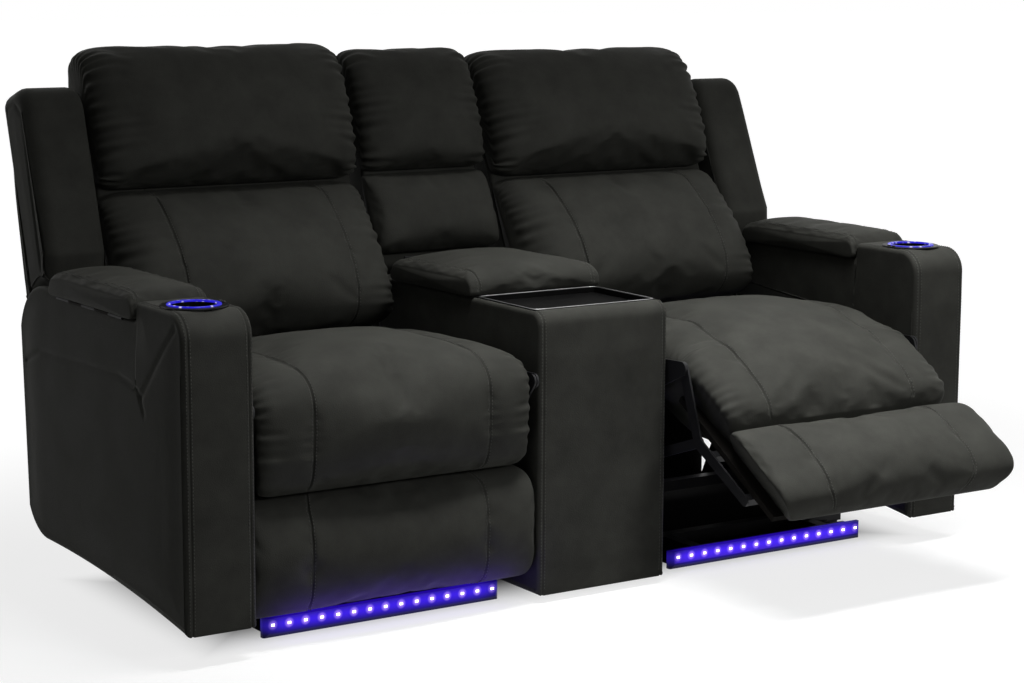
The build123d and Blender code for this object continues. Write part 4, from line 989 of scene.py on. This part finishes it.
@dataclass
class Covered:
    """A frame covered in panels: outlines carried across its width, with round edges and puffed sides."""

    name: str
    sides: Sides
    drawn: Drawn
    carrier: Carrier
    x_in: float
    x_out: float
    round: float = 9.0
    puff_in: float = 2.0
    puff_out: float = 5.0
    bulge: float = 0.0
    seams: tuple[float, ...] = ()
    outer: Sides | None = None
    step: float = 0.0
    marks: tuple[float, ...] = ()
    side_seams: tuple[list[Pair], ...] = ()
    pitch: float = 9.0
    fill: float = 0.9
    nodes: tuple[str, ...] = ()
    points: Array | None = field(default=None, init=False, repr=False)
    x: Array | None = field(default=None, init=False, repr=False)

    def stations(self) -> Array:
        """Places across, close together round the edges and at the seams."""
        turn = self.round * (1 - np.cos(np.linspace(0, pi / 2, 6)))
        low, high = self.x_in + self.round, self.x_out - self.round
        middle = np.linspace(low, high, int((high - low) / self.pitch) + 1)
        seams = np.array(self.seams)
        if len(seams):
            middle = middle[np.abs(middle[:, None] - seams).min(axis=1) > BAND_CLEAR]
        near = (seams[:, None] + BAND_NEAR).ravel()
        inside = np.concatenate([middle, near, np.array(self.marks)])
        inside = inside[(inside > low - 0.01) & (inside < high + 0.01)]
        return np.unique(np.concatenate([self.x_in + turn, self.x_out - turn, inside]).round(3))

    def grids(self, seat: Seat, centre: float) -> tuple[Array, Array, Grids]:
        """Work out the band across the frame and the two side panels.

        Args:
            seat: The seat that the frame belongs to.
            centre: x that the widths are measured from.

        Returns:
            The band's points, its places across, and all the grids with their faces.
        """
        x = self.stations()
        if self.outer:
            x = np.sort(np.concatenate([x, [self.step, self.step + STEP_GAP]]))
        loop, last = self.sides.loop(), (self.outer or self.sides).loop()
        rest = np.clip(self.round - np.minimum(x - self.x_in, self.x_out - x), 0, None)
        inset = self.round - np.sqrt(np.clip(self.round**2 - rest**2, 0, None))
        share = np.clip((x - self.x_in) / (self.x_out - self.x_in), 0, 1)
        swell = self.bulge * (1 - (2 * share - 1) ** 4)
        groove = -BAND_PRESS * sum((bell(x - s, BAND_WIDTH) for s in self.seams), np.zeros_like(x))
        n = len(self.sides.front) - 1
        step = np.arange(n)
        fronts, along = np.zeros(len(loop)), np.ones(len(loop))
        fronts[:n] = np.clip(np.minimum(step, n - step) / (FRONT_FADE * n), 0, 1)
        along[n + len(self.sides.top) - 1 :] = 0.0
        base = np.where((x > self.step + STEP_GAP / 2)[:, None, None], last, loop)
        push = swell[:, None] * fronts + groove[:, None] * along
        band = offset(base, inset[:, None, None]) + (offset(base, -1.0) - base) * push[..., None]
        flat = self.carrier.carried(self.drawn.flat(band), seat)
        points = in_row(centre + seat.side * x[:, None], flat)
        grids = [(points, grid_faces(*points.shape[:2], closed=True))]
        ends = ((0, -self.puff_in, self.sides), (-1, self.puff_out, self.outer or self.sides))
        for end, puff, sides in ends:
            panel = coons(*sides.split(band[end]))
            inward = from_path(panel, [*band[end], band[end][0]])
            out = puff * (1 - bell(inward, PUFF_REACH))
            for seam in self.side_seams if end == -1 else ():
                press = SIDE_PRESS * bell(from_path(panel, seam), SIDE_WIDTH)
                out = out - press * (1 - bell(inward, EDGE_KEEP))
            side = self.carrier.carried(self.drawn.flat(panel), seat)
            side = in_row(centre + seat.side * (x[end] + out), side)
            grids.append((side, grid_faces(*side.shape[:2], closed=False)))
        return points, x, grids

    def build(self, seat: Seat, centre: float = 0.0) -> Object:
        """Make the piece, dress it, hide the CAD parts that it replaces, and hang it on its carrier."""
        self.points, self.x, grids = self.grids(seat, centre)
        piece = new_piece(f"{seat.name}_{self.name}", grids)
        dress(piece, LEATHER)
        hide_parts(*(seat.node(name) for name in self.nodes))
        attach(piece, self.carrier.body(seat))
        return piece

    def row(self, place: float) -> tuple[Array, Array]:
        """Points and outward normals of the band's row nearest to a place across."""
        i = int(np.abs(self.x - place).argmin())
        return self.points[i], grid_normals(self.points, closed=True)[i]


def cut(piece: Object, picked: Callable[[Array], Array]) -> None:
    """Remove the faces whose middles a test picks.

    Args:
        piece: The piece to open.
        picked: Function of the middles in millimetres that is true where a face goes.
    """
    shape = bmesh.new()
    shape.from_mesh(piece.data)
    shape.faces.ensure_lookup_table()
    middles = np.zeros(len(piece.data.polygons) * 3, np.float32)
    piece.data.polygons.foreach_get("center", middles)
    gone = np.flatnonzero(picked(middles.reshape(-1, 3) / MM))
    bmesh.ops.delete(shape, geom=[shape.faces[i] for i in gone], context="FACES")
    shape.to_mesh(piece.data)
    shape.free()


def runs(*parts: Array | list[Pair], count: int) -> Array:
    """One run of evenly spaced points through parts that follow each other."""
    whole = np.concatenate([np.atleast_2d(np.array(p, float)) for p in parts])
    return resampled(whole, count + 1)


def joined(*parts: Array) -> Array:
    """Runs end to end, each start dropped where it repeats the end before it."""
    return np.concatenate([parts[0]] + [p[1:] for p in parts[1:]])


FRONT_STEPS, TOP_STEPS, BACK_STEPS = 96, 112, 34
LEDGE_STEPS, REAR_STEPS = 26, 70
ARM_STEP = 881.0
ARM_TOP, ARM_LEDGE = 618.0, 586.0
CUP_OPENING, WELL_HALF, WELL_ENDS = 54.0, 47.0, (230.0, 542.0)
THREAD_END, THREAD_FOOT = 184.0, 64.0
SEAM_OFF = 4.0
ARM_V = [(706, 440), (629, 468), (259, 478), (182, 466), (165, 452), (26, 593)]
ARM_STEM = [(165, 452), (152, 424)]


def arm_sides() -> tuple[Sides, Sides]:
    """Outlines of an arm: the part beside the wing, and the outer panel."""
    front = runs([(0, 58), (0, 570)], count=FRONT_STEPS)
    shared = runs(
        arc((0, 570), (48, ARM_TOP), 14.06), [(189, ARM_TOP), (189.5, ARM_LEDGE), (582, ARM_LEDGE)], count=TOP_STEPS
    )
    low = runs(arc((720, 150), (638, 98), 12), arc((638, 98), (0, 58), -12), count=TOP_STEPS + BACK_STEPS)
    rear = runs([(732.7, 400), (720, 150)], count=REAR_STEPS)
    crest = runs(arc((582, ARM_LEDGE), (ARM_DEPTH, 505), 39), count=BACK_STEPS)
    drop = runs([(ARM_DEPTH, 505), (732.7, 400)], count=LEDGE_STEPS)
    around = np.linspace(atan2(184.5, 77.2), 0, 24)
    bowl = np.stack([518 + 200 * np.cos(around), 400 + 200 * np.sin(around)], axis=1)
    inner = runs([(582, ARM_LEDGE)], bowl, count=BACK_STEPS)
    ledge = runs([(718, 400), (732.7, 400)], count=LEDGE_STEPS)
    return (
        Sides(front, joined(shared, inner), joined(ledge, rear), low),
        Sides(front, joined(shared, crest), joined(drop, rear), low),
    )


class Arm:
    """One arm with its cover, the lining of its well and its stitching."""

    edge = 11.0

    def __init__(self, seat: Seat) -> None:
        """Take the seat's side."""
        self.seat = seat

    def build(self) -> None:
        """Make the cover, open it for the cup and the well, line the well and stitch the bands."""
        inner, full = arm_sides()
        seams = (ARM_IN + self.edge, ARM_OUT - self.edge)
        rows = [s + off for s in seams for off in (-SEAM_OFF, SEAM_OFF)]
        cover = Covered(
            "arm_cover", inner, Drawn.SIDE, Carrier.BASE, ARM_IN, ARM_OUT, seams=seams, outer=full,
            step=ARM_STEP, bulge=3.0, side_seams=(ARM_V, ARM_STEM), nodes=("arm",), pitch=7.0,
        )
        piece = cover.build(self.seat)
        middle = self.seat.side * CUP_CENTRE[0]

        def opened(p: Array) -> Array:
            depth = p[:, 1] - FRONT_Y
            cup = np.hypot(p[:, 0] - middle, depth - CUP_CENTRE[1]) < CUP_OPENING
            well = (np.abs(p[:, 0] - middle) < WELL_HALF) & (depth > WELL_ENDS[0]) & (depth < WELL_ENDS[1])
            return (cup & (p[:, 2] > ARM_TOP - 8)) | (well & (np.abs(p[:, 2] - ARM_LEDGE) < 4))

        cut(piece, opened)
        box_lining(f"{self.seat.name}_well_lining", middle, (386.0, 90.0, 308.0), ARM_LEDGE, 228.0)
        threads = Stitching(f"{self.seat.name}_arm_stitching")
        for place in rows:
            points, normals = cover.row(place)
            depth = points[:, 1] - FRONT_Y
            run = np.arange(len(points)) < FRONT_STEPS + TOP_STEPS
            run &= (depth < THREAD_END) & (points[:, 2] > THREAD_FOOT)
            threads.add(points[run], normals[run])
        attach(threads.build(), Carrier.BASE.body(self.seat))


def box_lining(name: str, x: float, plan: Triple, top: float, deep: float) -> None:
    """Open lining of a storage well: a rounded loop carried from a rim down the walls to the floor.

    Args:
        name: Name of the piece.
        x: Middle across.
        plan: Depth of the middle, width and length.
        top: Height of the rim.
        deep: Depth of the well.
    """
    middle, width, length = plan
    grow = np.array([7.0, 7.0, 0.0, -1.0, -1.0, -6.0, -width / 2])
    fall = np.array([-0.5, 0.9, 1.0, -3.0, -deep + 8, -deep + 1, -deep + 1])
    half = np.stack([width / 2 + grow, length / 2 + np.where(grow < -10, -length / 2, grow)], axis=1)
    flat = squared(96, 0.16)[None] * half[:, None]
    height = np.broadcast_to((top + fall)[:, None], flat.shape[:2])
    points = np.stack([x + flat[..., 0], FRONT_Y + middle + flat[..., 1], height], axis=-1)
    piece = new_piece(name, [(points, grid_faces(*points.shape[:2], closed=True))])
    dress(piece, BLACK_LINING_AND_SHADE)
    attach(piece, "base")


class Stitching:
    """Rows of topstitching on one carrier: small lozenges of thread laid along the rows."""

    pitch = 6.4
    length = 4.4
    width = 0.75
    stand = 0.35
    reach = 1.5

    def __init__(self, name: str) -> None:
        """Start with no rows."""
        self.name = name
        self.places: list[tuple[Array, Array, Array]] = []

    def add(self, points: Array, normals: Array) -> None:
        """Lay stitches along a row of points.

        Args:
            points: The row, in millimetres.
            normals: The surface's normals along it.
        """
        good = np.isfinite(points[:, 0])
        points, normals = points[good], normals[good]
        if len(points) < 4:
            return
        steps = np.linalg.norm(np.diff(points, axis=0), axis=1)
        run = np.concatenate([[0.0], np.cumsum(steps)])
        goal = np.arange(self.pitch / 2, run[-1] - self.pitch / 2, self.pitch)

        def at(goal: Array, values: Array) -> Array:
            return np.stack([np.interp(goal, run, values[:, i]) for i in range(3)], axis=1)

        centre, facing = at(goal, points), at(goal, normals)
        along = at(goal + self.reach, points) - at(goal - self.reach, points)
        along /= np.maximum(np.linalg.norm(along, axis=1, keepdims=True), 1e-9)
        facing /= np.maximum(np.linalg.norm(facing, axis=1, keepdims=True), 1e-9)
        self.places.append((centre + facing * self.stand, along, facing))

    def build(self) -> Object:
        """Make all the rows as one piece: two rings of six points and two tips for each stitch."""
        centre, along, facing = (np.concatenate([p[i] for p in self.places]) for i in range(3))
        across = np.cross(facing, along)
        t = np.linspace(0, 2 * pi, 6, endpoint=False)
        ring = np.stack([np.zeros(6), np.cos(t) * self.width, np.sin(t) * self.width * 0.7], axis=1)
        tip, shoulder = np.array([[self.length / 2, 0, 0]]), np.array([self.length * 0.3, 0, 0])
        shape = np.concatenate([-tip, ring - shoulder, ring + shoulder, tip])
        axes = np.stack([along, across, facing], axis=1)
        points = centre[:, None] + shape @ axes
        i = np.arange(6)
        n = (i + 1) % 6
        tips = np.concatenate([np.stack([0 * i, 1 + n, 1 + i], 1), np.stack([0 * i + 13, 7 + i, 7 + n], 1)])
        walls = np.concatenate([np.stack([1 + i, 1 + n, 7 + n], 1), np.stack([1 + i, 7 + n, 7 + i], 1)])
        faces = np.concatenate([tips, walls])
        faces = (faces[None] + 14 * np.arange(len(points))[:, None, None]).reshape(-1, 3)
        piece = new_piece(self.name, [(points.reshape(-1, 1, 3), faces)], weld=0.0)
        dress(piece, THREAD)
        return piece


WING_BOWL = 205.0
WING_FOOT, WING_REAR_FOOT = sqrt(WING_BOWL**2 - 9), sqrt(WING_BOWL**2 - 102.0**2)


def build_wing(seat: Seat) -> None:
    """One wing: its broad front band, and an outer panel set in behind a seam."""
    front = runs([(WING_FOOT, 3), (255, 24), (540, 24)], count=70)
    top = runs(arc((540, 24), (594, -30), 15.8), arc((594, -74), (566, -102), 8.2), count=40)
    rear = runs([(566, -102), (WING_REAR_FOOT, -102)], count=70)
    angles = np.linspace(atan2(-102, WING_REAR_FOOT), atan2(3, WING_FOOT), 41)
    low = WING_BOWL * np.stack([np.cos(angles), np.sin(angles)], axis=1)
    sides = Sides(front, top, rear, low)
    seam = [(WING_FOOT + 8, -16), (536, -2), (566, -34), (566, -70), (540, -84), (200, -84)]
    cover = Covered(
        "wing_cover", sides, Drawn.LEANING, Carrier.BACK, ARM_IN - 9, ARM_STEP - 5, round=25.0,
        puff_in=1.0, puff_out=1.5, bulge=2.5, side_seams=(seam,), nodes=("wing",), pitch=8.0,
    )
    cover.build(seat)


def build_back(seat: Seat) -> None:
    """Rear of one back: a covered shell, slightly puffed behind."""
    front = runs([(26, -20), (604, -20)], count=60)
    top = runs([(604, -20), (604, -68)], arc((604, -68), (544, -102), 8), count=24)
    rear = runs(arc((544, -102), (76, -102), 10), count=60)
    low = runs(arc((76, -102), (26, -64), 8), [(26, -20)], count=24)
    shell = Covered(
        "back_cover", Sides(front, top, rear, low), Drawn.LEANING, Carrier.BACK, SEAT_X - 284, SEAT_X + 284,
        round=10.0, puff_in=0.5, puff_out=0.5, nodes=("back_shell",), seams=(SEAT_X - SEAM, SEAT_X + SEAM),
        pitch=14.0,
    )
    shell.build(seat)


class Console:
    """Centre console: its box, tray rim, bin lining, the core of its back, and stitching."""

    edge = 10.0
    foot, top, rear = 15.0, 560.0, 722.0
    tray, store = (64.0, 268.0), (306.0, 548.0)
    tray_half, store_half = 138.5, 125.0
    front_steps, corner_steps = 90, 8

    def build(self) -> None:
        """Make the covered pieces and stitch the front corners."""
        front = runs([(CONSOLE_FRONT, self.foot), (CONSOLE_FRONT, 534)], count=self.front_steps)
        corner = runs(arc((CONSOLE_FRONT, 534), (60, self.top), 7.6), count=self.corner_steps)
        stops = [60.0, *self.tray, *self.store, self.rear]
        steps = (1, 30, 6, 36, 25)
        level = [
            runs([(a, self.top), (b, self.top)], count=count) for a, b, count in zip(stops, stops[1:], steps)
        ]
        top = joined(corner, *level)
        rear = runs([(self.rear, self.top), (self.rear, self.foot)], count=self.front_steps)
        low = runs([(self.rear, self.foot), (CONSOLE_FRONT, self.foot)], count=len(top) - 1)
        seams = (self.edge - CONSOLE_HALF, CONSOLE_HALF - self.edge)
        box = Covered(
            "box_cover", Sides(front, top, rear, low), Drawn.SIDE, Carrier.BASE, -CONSOLE_HALF, CONSOLE_HALF,
            puff_in=2.5, puff_out=2.5, bulge=3.5, seams=seams, marks=(-self.store_half, self.store_half),
            nodes=("console_box",),
        )
        piece = box.build(FIXED)

        def opened(p: Array) -> Array:
            depth, x = p[:, 1] - FRONT_Y, np.abs(p[:, 0])
            tray = (x < self.tray_half) & (depth > self.tray[0]) & (depth < self.tray[1])
            store = (x < self.store_half) & (depth > self.store[0]) & (depth < self.store[1])
            return (tray | store) & (p[:, 2] > self.top - 10)

        cut(piece, opened)
        box_lining("console_bin_lining", 0.0, (427.0, 250.0, 242.0), 559.2, 228.0)
        threads = Stitching("console_stitching")
        stitched = slice(2, self.front_steps + self.corner_steps + 1)
        for place in (s + off for s in seams for off in (-SEAM_OFF, SEAM_OFF)):
            points, normals = box.row(place)
            threads.add(points[stitched], normals[stitched])
        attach(threads.build(), "base")
        core = Covered(
            "back_core", self.core(), Drawn.LEANING, Carrier.BASE, -139.0, 139.0, round=8.0, puff_in=0.5,
            puff_out=0.5, nodes=("console_back_core",), pitch=14.0,
        )
        core.build(FIXED)
        self.tray_rim()

    def core(self) -> Sides:
        """Outline of the fixed back behind the console's pads."""
        front = runs([(174, -20), (604, -20)], count=50)
        top = runs([(604, -20), (604, -64), (560, -108)], count=20)
        rear = runs([(560, -108), (202, -108)], count=50)
        low = runs([(202, -108), (174, -20)], count=20)
        return Sides(front, top, rear, low)

    def tray_rim(self) -> None:
        """Thin pale bead round the tray: a small half round carried round a rectangle."""
        around = np.linspace(0, 2 * pi, 9)
        out, up = 1.3 * np.cos(around), 1.1 * np.sin(around)
        half = np.array([CONSOLE_HALF - 9.5, (self.tray[1] - self.tray[0]) / 2 + 0.5])
        flat = squared(160, 0.1)[None] * (half + out[:, None, None])
        middle = FRONT_Y + sum(self.tray) / 2
        height = np.broadcast_to((self.top + 1.4 + up)[:, None], flat.shape[:2])
        points = np.stack([flat[..., 0], middle + flat[..., 1], height], axis=-1)
        rim = new_piece("tray_rim", [(points, grid_faces(*points.shape[:2], closed=True))])
        dress(rim, PALE_TRIM)
        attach(rim, "base")


BOARD_THICK = 3.0


def bent_board(line: Array, x: float, half: Array | float) -> Grids:
    """Grids of a board of one thickness, bent to a line and carried across, with both ends closed.

    Args:
        line: Depths and heights along the board's outer face.
        x: Middle of the board.
        half: Half of its width, one value or one for each point of the line.

    Returns:
        The grids and their faces.
    """
    ahead = np.gradient(line, axis=0)
    ahead /= np.linalg.norm(ahead, axis=1, keepdims=True)
    inner = line + BOARD_THICK * np.stack([-ahead[:, 1], ahead[:, 0]], axis=1)
    loop = np.concatenate([line, inner[::-1]])
    widths = np.broadcast_to(half, len(line))
    across = np.linspace(-1, 1, 25)[:, None] * np.concatenate([widths, widths[::-1]])
    points = in_row(x + across, np.broadcast_to(loop, (*across.shape, 2)))
    grids = [(points, grid_faces(*points.shape[:2], closed=True))]
    for end in (0, -1):
        edge = np.stack([points[end, : len(line)], points[end, len(line) :][::-1]])
        grids.append((edge, grid_faces(*edge.shape[:2], closed=False)))
    return grids


def build_under_shade_board(seat: Seat) -> None:
    """Black fibreboard below and behind the mechanism, with a low wall on each side: a dust cover whose black is
    also painted shade for the dark space under the seat.
    """
    line = runs([(102, 14), (690, 14)], arc((690, 14), (706, 30), -4.7), [(706, 330)], count=70)
    grids = bent_board(line, seat.side * SEAT_X, np.interp(line[:, 0], [205, 225], [246, 303]))
    wall = np.array([(300, 15), (706, 15), (640, 160), (300, 60)], float)
    for sign in (-1, 1):
        x = seat.side * SEAT_X + sign * np.array([[301.2], [303.2]])
        rim = in_row(x, np.broadcast_to(wall, (2, *wall.shape)))
        grids.append((rim, grid_faces(2, len(wall), closed=True)))
        grids.extend((face[[[0, 1], [3, 2]]], grid_faces(2, 2, closed=False)) for face in rim)
    panel = new_piece(f"{seat.name}_under_shade_board", grids)
    # Its black is painted shade: it darkens the space under the seat, where the floor would show.
    dress(panel, BLACK_LINING_AND_SHADE)
    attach(panel, "base")


def build_rear_boards(seat: Seat) -> None:
    """Two black boards below a back that close the gap: one on the carriage, one hung from the back."""
    boards = (
        ("rear_board", Carrier.CARRIAGE, [(672, 290), (672, 352)]),
        ("back_flap", Carrier.BACK, [(652, 334), (656, 412)]),
    )
    for name, carrier, ends in boards:
        line = carrier.carried(runs(ends, count=12), seat)
        board = new_piece(f"{seat.name}_{name}", bent_board(line, seat.side * SEAT_X, 270.0))
        dress(board, BLACK_LINING_AND_SHADE)
        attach(board, carrier.body(seat))


# Stage, lights and camera


@dataclass(frozen=True)
class Studio:
    """Pale floor, soft lamps and the photograph's camera."""

    place: Triple = (-2.5422, FRONT_Y * MM - 3.5465, 1.2085)
    yaw: float = radians(33.073)
    pitch: float = radians(9.267)
    roll: float = 0.0042
    lens: float = 82.21
    floor_tone: float = 0.26
    floor_lift: float = 0.8
    ambient: float = 0.05

    def build(self) -> None:
        """Make the floor, the lamps, the world and the camera."""
        self.floor()
        self.world()
        overhead = self.lamp("overhead", (0.3, -0.58, 2.8), (0.3, -0.58, 0.0), (2.0, 0.4), 15.5)
        overhead.data.spread = radians(60.0)
        self.lamp("front_right", (1.3, -4.4, 2.3), (0.0, 0.0, 0.6), (0.8, 0.8), 44.0)
        self.lamp("behind", (-0.5, 3.6, 2.6), (0.0, 0.2, 0.6), (2.6, 2.6), 14.0)
        for seat, depth in ((LEFT, 12.0), (RIGHT, 76.0)):
            x, y = seat.side * SEAT_X * MM, (FRONT_Y + depth) * MM
            glow = self.lamp(
                f"{seat.name}_rail_glow", (x, y, 0.024), (x, y + 0.08, 0.12), (0.48, 0.02), 0.35
            )
            glow.data.color = (0.16, 0.05, 1.0)
        self.camera()
        bpy.context.scene.view_settings.view_transform = "Standard"

    def seen(self, tree: Tree) -> Socket:
        """One on camera rays and on those that metal or glass sends on."""
        rays = tree.nodes.new("ShaderNodeLightPath")
        sent = math_node(tree, "MAXIMUM", rays.outputs["Is Glossy Ray"], rays.outputs["Is Transmission Ray"])
        return math_node(tree, "MAXIMUM", rays.outputs["Is Camera Ray"], sent)

    def floor(self) -> None:
        """Wide floor that keeps its shadows, lifted to white where it is seen, and less so under the sofa, where the
        lift fades out as a painted shadow.
        """
        wide = 40.0 / MM
        edge = np.linspace(-wide, wide, 3)
        x, y = np.meshgrid(edge, edge)
        points = np.stack([x, y, np.zeros_like(x)], axis=-1)
        ground = new_piece("floor", [(points, grid_faces(3, 3, closed=False))])
        made = bpy.data.materials.new("floor")
        made.use_nodes = True
        tree = made.node_tree
        shader = tree.nodes["Principled BSDF"]
        shader.inputs["Base Color"].default_value = (*[self.floor_tone] * 3, 1.0)
        shader.inputs["Roughness"].default_value = 0.9
        shader.inputs["Specular IOR Level"].default_value = 0.0
        where, axes = tree.nodes.new("ShaderNodeTexCoord"), tree.nodes.new("ShaderNodeSeparateXYZ")
        tree.links.new(where.outputs["Object"], axes.inputs["Vector"])
        across = math_node(tree, "SUBTRACT", math_node(tree, "ABSOLUTE", axes.outputs["X"]), ARM_OUT * MM)
        behind = math_node(tree, "SUBTRACT", axes.outputs["Y"], (FRONT_Y + ARM_DEPTH / 2) * MM)
        behind = math_node(tree, "SUBTRACT", math_node(tree, "ABSOLUTE", behind), ARM_DEPTH / 2 * MM)
        away = math_node(tree, "MAXIMUM", across, behind)
        # Painted shadow: the lift to white fades out inside the sofa's footprint, so the floor under the sofa stays
        # dark.
        clear = math_node(tree, "SUBTRACT", 1.0, faded(tree, away, -0.25, -0.03, 0.0))
        full = math_node(tree, "SUBTRACT", 1.0, faded(tree, away, 0.1, 1.6, 0.0))
        lift = math_node(tree, "MULTIPLY_ADD", full, 1.0 - self.floor_lift, self.floor_lift)
        lift = math_node(tree, "MULTIPLY", math_node(tree, "MULTIPLY", self.seen(tree), clear), lift)
        shader.inputs["Emission Color"].default_value = (1.0, 1.0, 1.0, 1.0)
        tree.links.new(lift, shader.inputs["Emission Strength"])
        ground.data.materials.append(made)

    def world(self) -> None:
        """Even surround, white where it is seen."""
        world = bpy.data.worlds.new("surround")
        bpy.context.scene.world = world
        world.use_nodes = True
        tree = world.node_tree
        light = tree.nodes["Background"]
        light.inputs["Color"].default_value = (1.0, 1.0, 1.0, 1.0)
        strength = math_node(tree, "MULTIPLY_ADD", self.seen(tree), 1.0 - self.ambient, self.ambient)
        tree.links.new(strength, light.inputs["Strength"])

    def lamp(self, name: str, place: Triple, aim: Triple, size: Pair, power: float) -> Object:
        """Soft lamp of a width and height at a place, aimed at a point."""
        data = bpy.data.lights.new(name, "AREA")
        data.shape = "RECTANGLE"
        data.size, data.size_y = size
        data.energy = power
        lamp = bpy.data.objects.new(name, data)
        bpy.context.scene.collection.objects.link(lamp)
        lamp.location = place
        lamp.rotation_mode = "QUATERNION"
        lamp.rotation_quaternion = (Vector(aim) - Vector(place)).to_track_quat("-Z", "Y")
        return lamp

    def camera(self) -> None:
        """Camera with the photograph's place, direction and angle of view."""
        data = bpy.data.cameras.new("photograph")
        data.sensor_width = 36.0
        data.lens = self.lens
        camera = bpy.data.objects.new("photograph", data)
        bpy.context.scene.collection.objects.link(camera)
        ahead = Vector((sin(self.yaw) * cos(self.pitch), cos(self.yaw) * cos(self.pitch), -sin(self.pitch)))
        level = Vector((cos(self.yaw), -sin(self.yaw), 0.0))
        up = level.cross(ahead)
        right = level * cos(self.roll) + up * sin(self.roll)
        up = up * cos(self.roll) - level * sin(self.roll)
        turn = Matrix((right, up, -ahead)).transposed().to_4x4()
        camera.matrix_world = Matrix.Translation(self.place) @ turn
        bpy.context.scene.camera = camera


def dress_frame() -> None:
    """Give the CAD pieces that stay in view their finishes."""
    for name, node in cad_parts.items():
        plain = name.removeprefix("left_").removeprefix("right_")
        finish = NODE_FINISH.get(name) or NODE_FINISH.get(plain) or LEATHER
        if not node.material_slots:
            node.data.materials.append(finish.material())
        for slot in node.material_slots:
            slot.material = finish.material()


def main() -> None:
    """Build the studio and every piece in order."""
    logging.basicConfig(level=logging.INFO, format="%(name)s: %(message)s")
    Studio().build()
    dress_frame()
    Console().build()
    for seat in (LEFT, RIGHT):
        Arm(seat).build()
        build_wing(seat)
        build_back(seat)
        build_under_shade_board(seat)
        build_rear_boards(seat)
    covers = Upholstery()
    for seat in (LEFT, RIGHT):
        for pad in SEAT_PADS:
            covers.add(pad, seat, seat.side * SEAT_X)
        covers.add(ARM_LID, seat, seat.side * (ARM_IN + ARM_OUT) / 2)
    for pad in CONSOLE_PADS:
        covers.add(pad, FIXED, 0.0)
    covers.swell()
    covers.finish()
    covers.stitch()


if __name__ == "__main__":
    main()
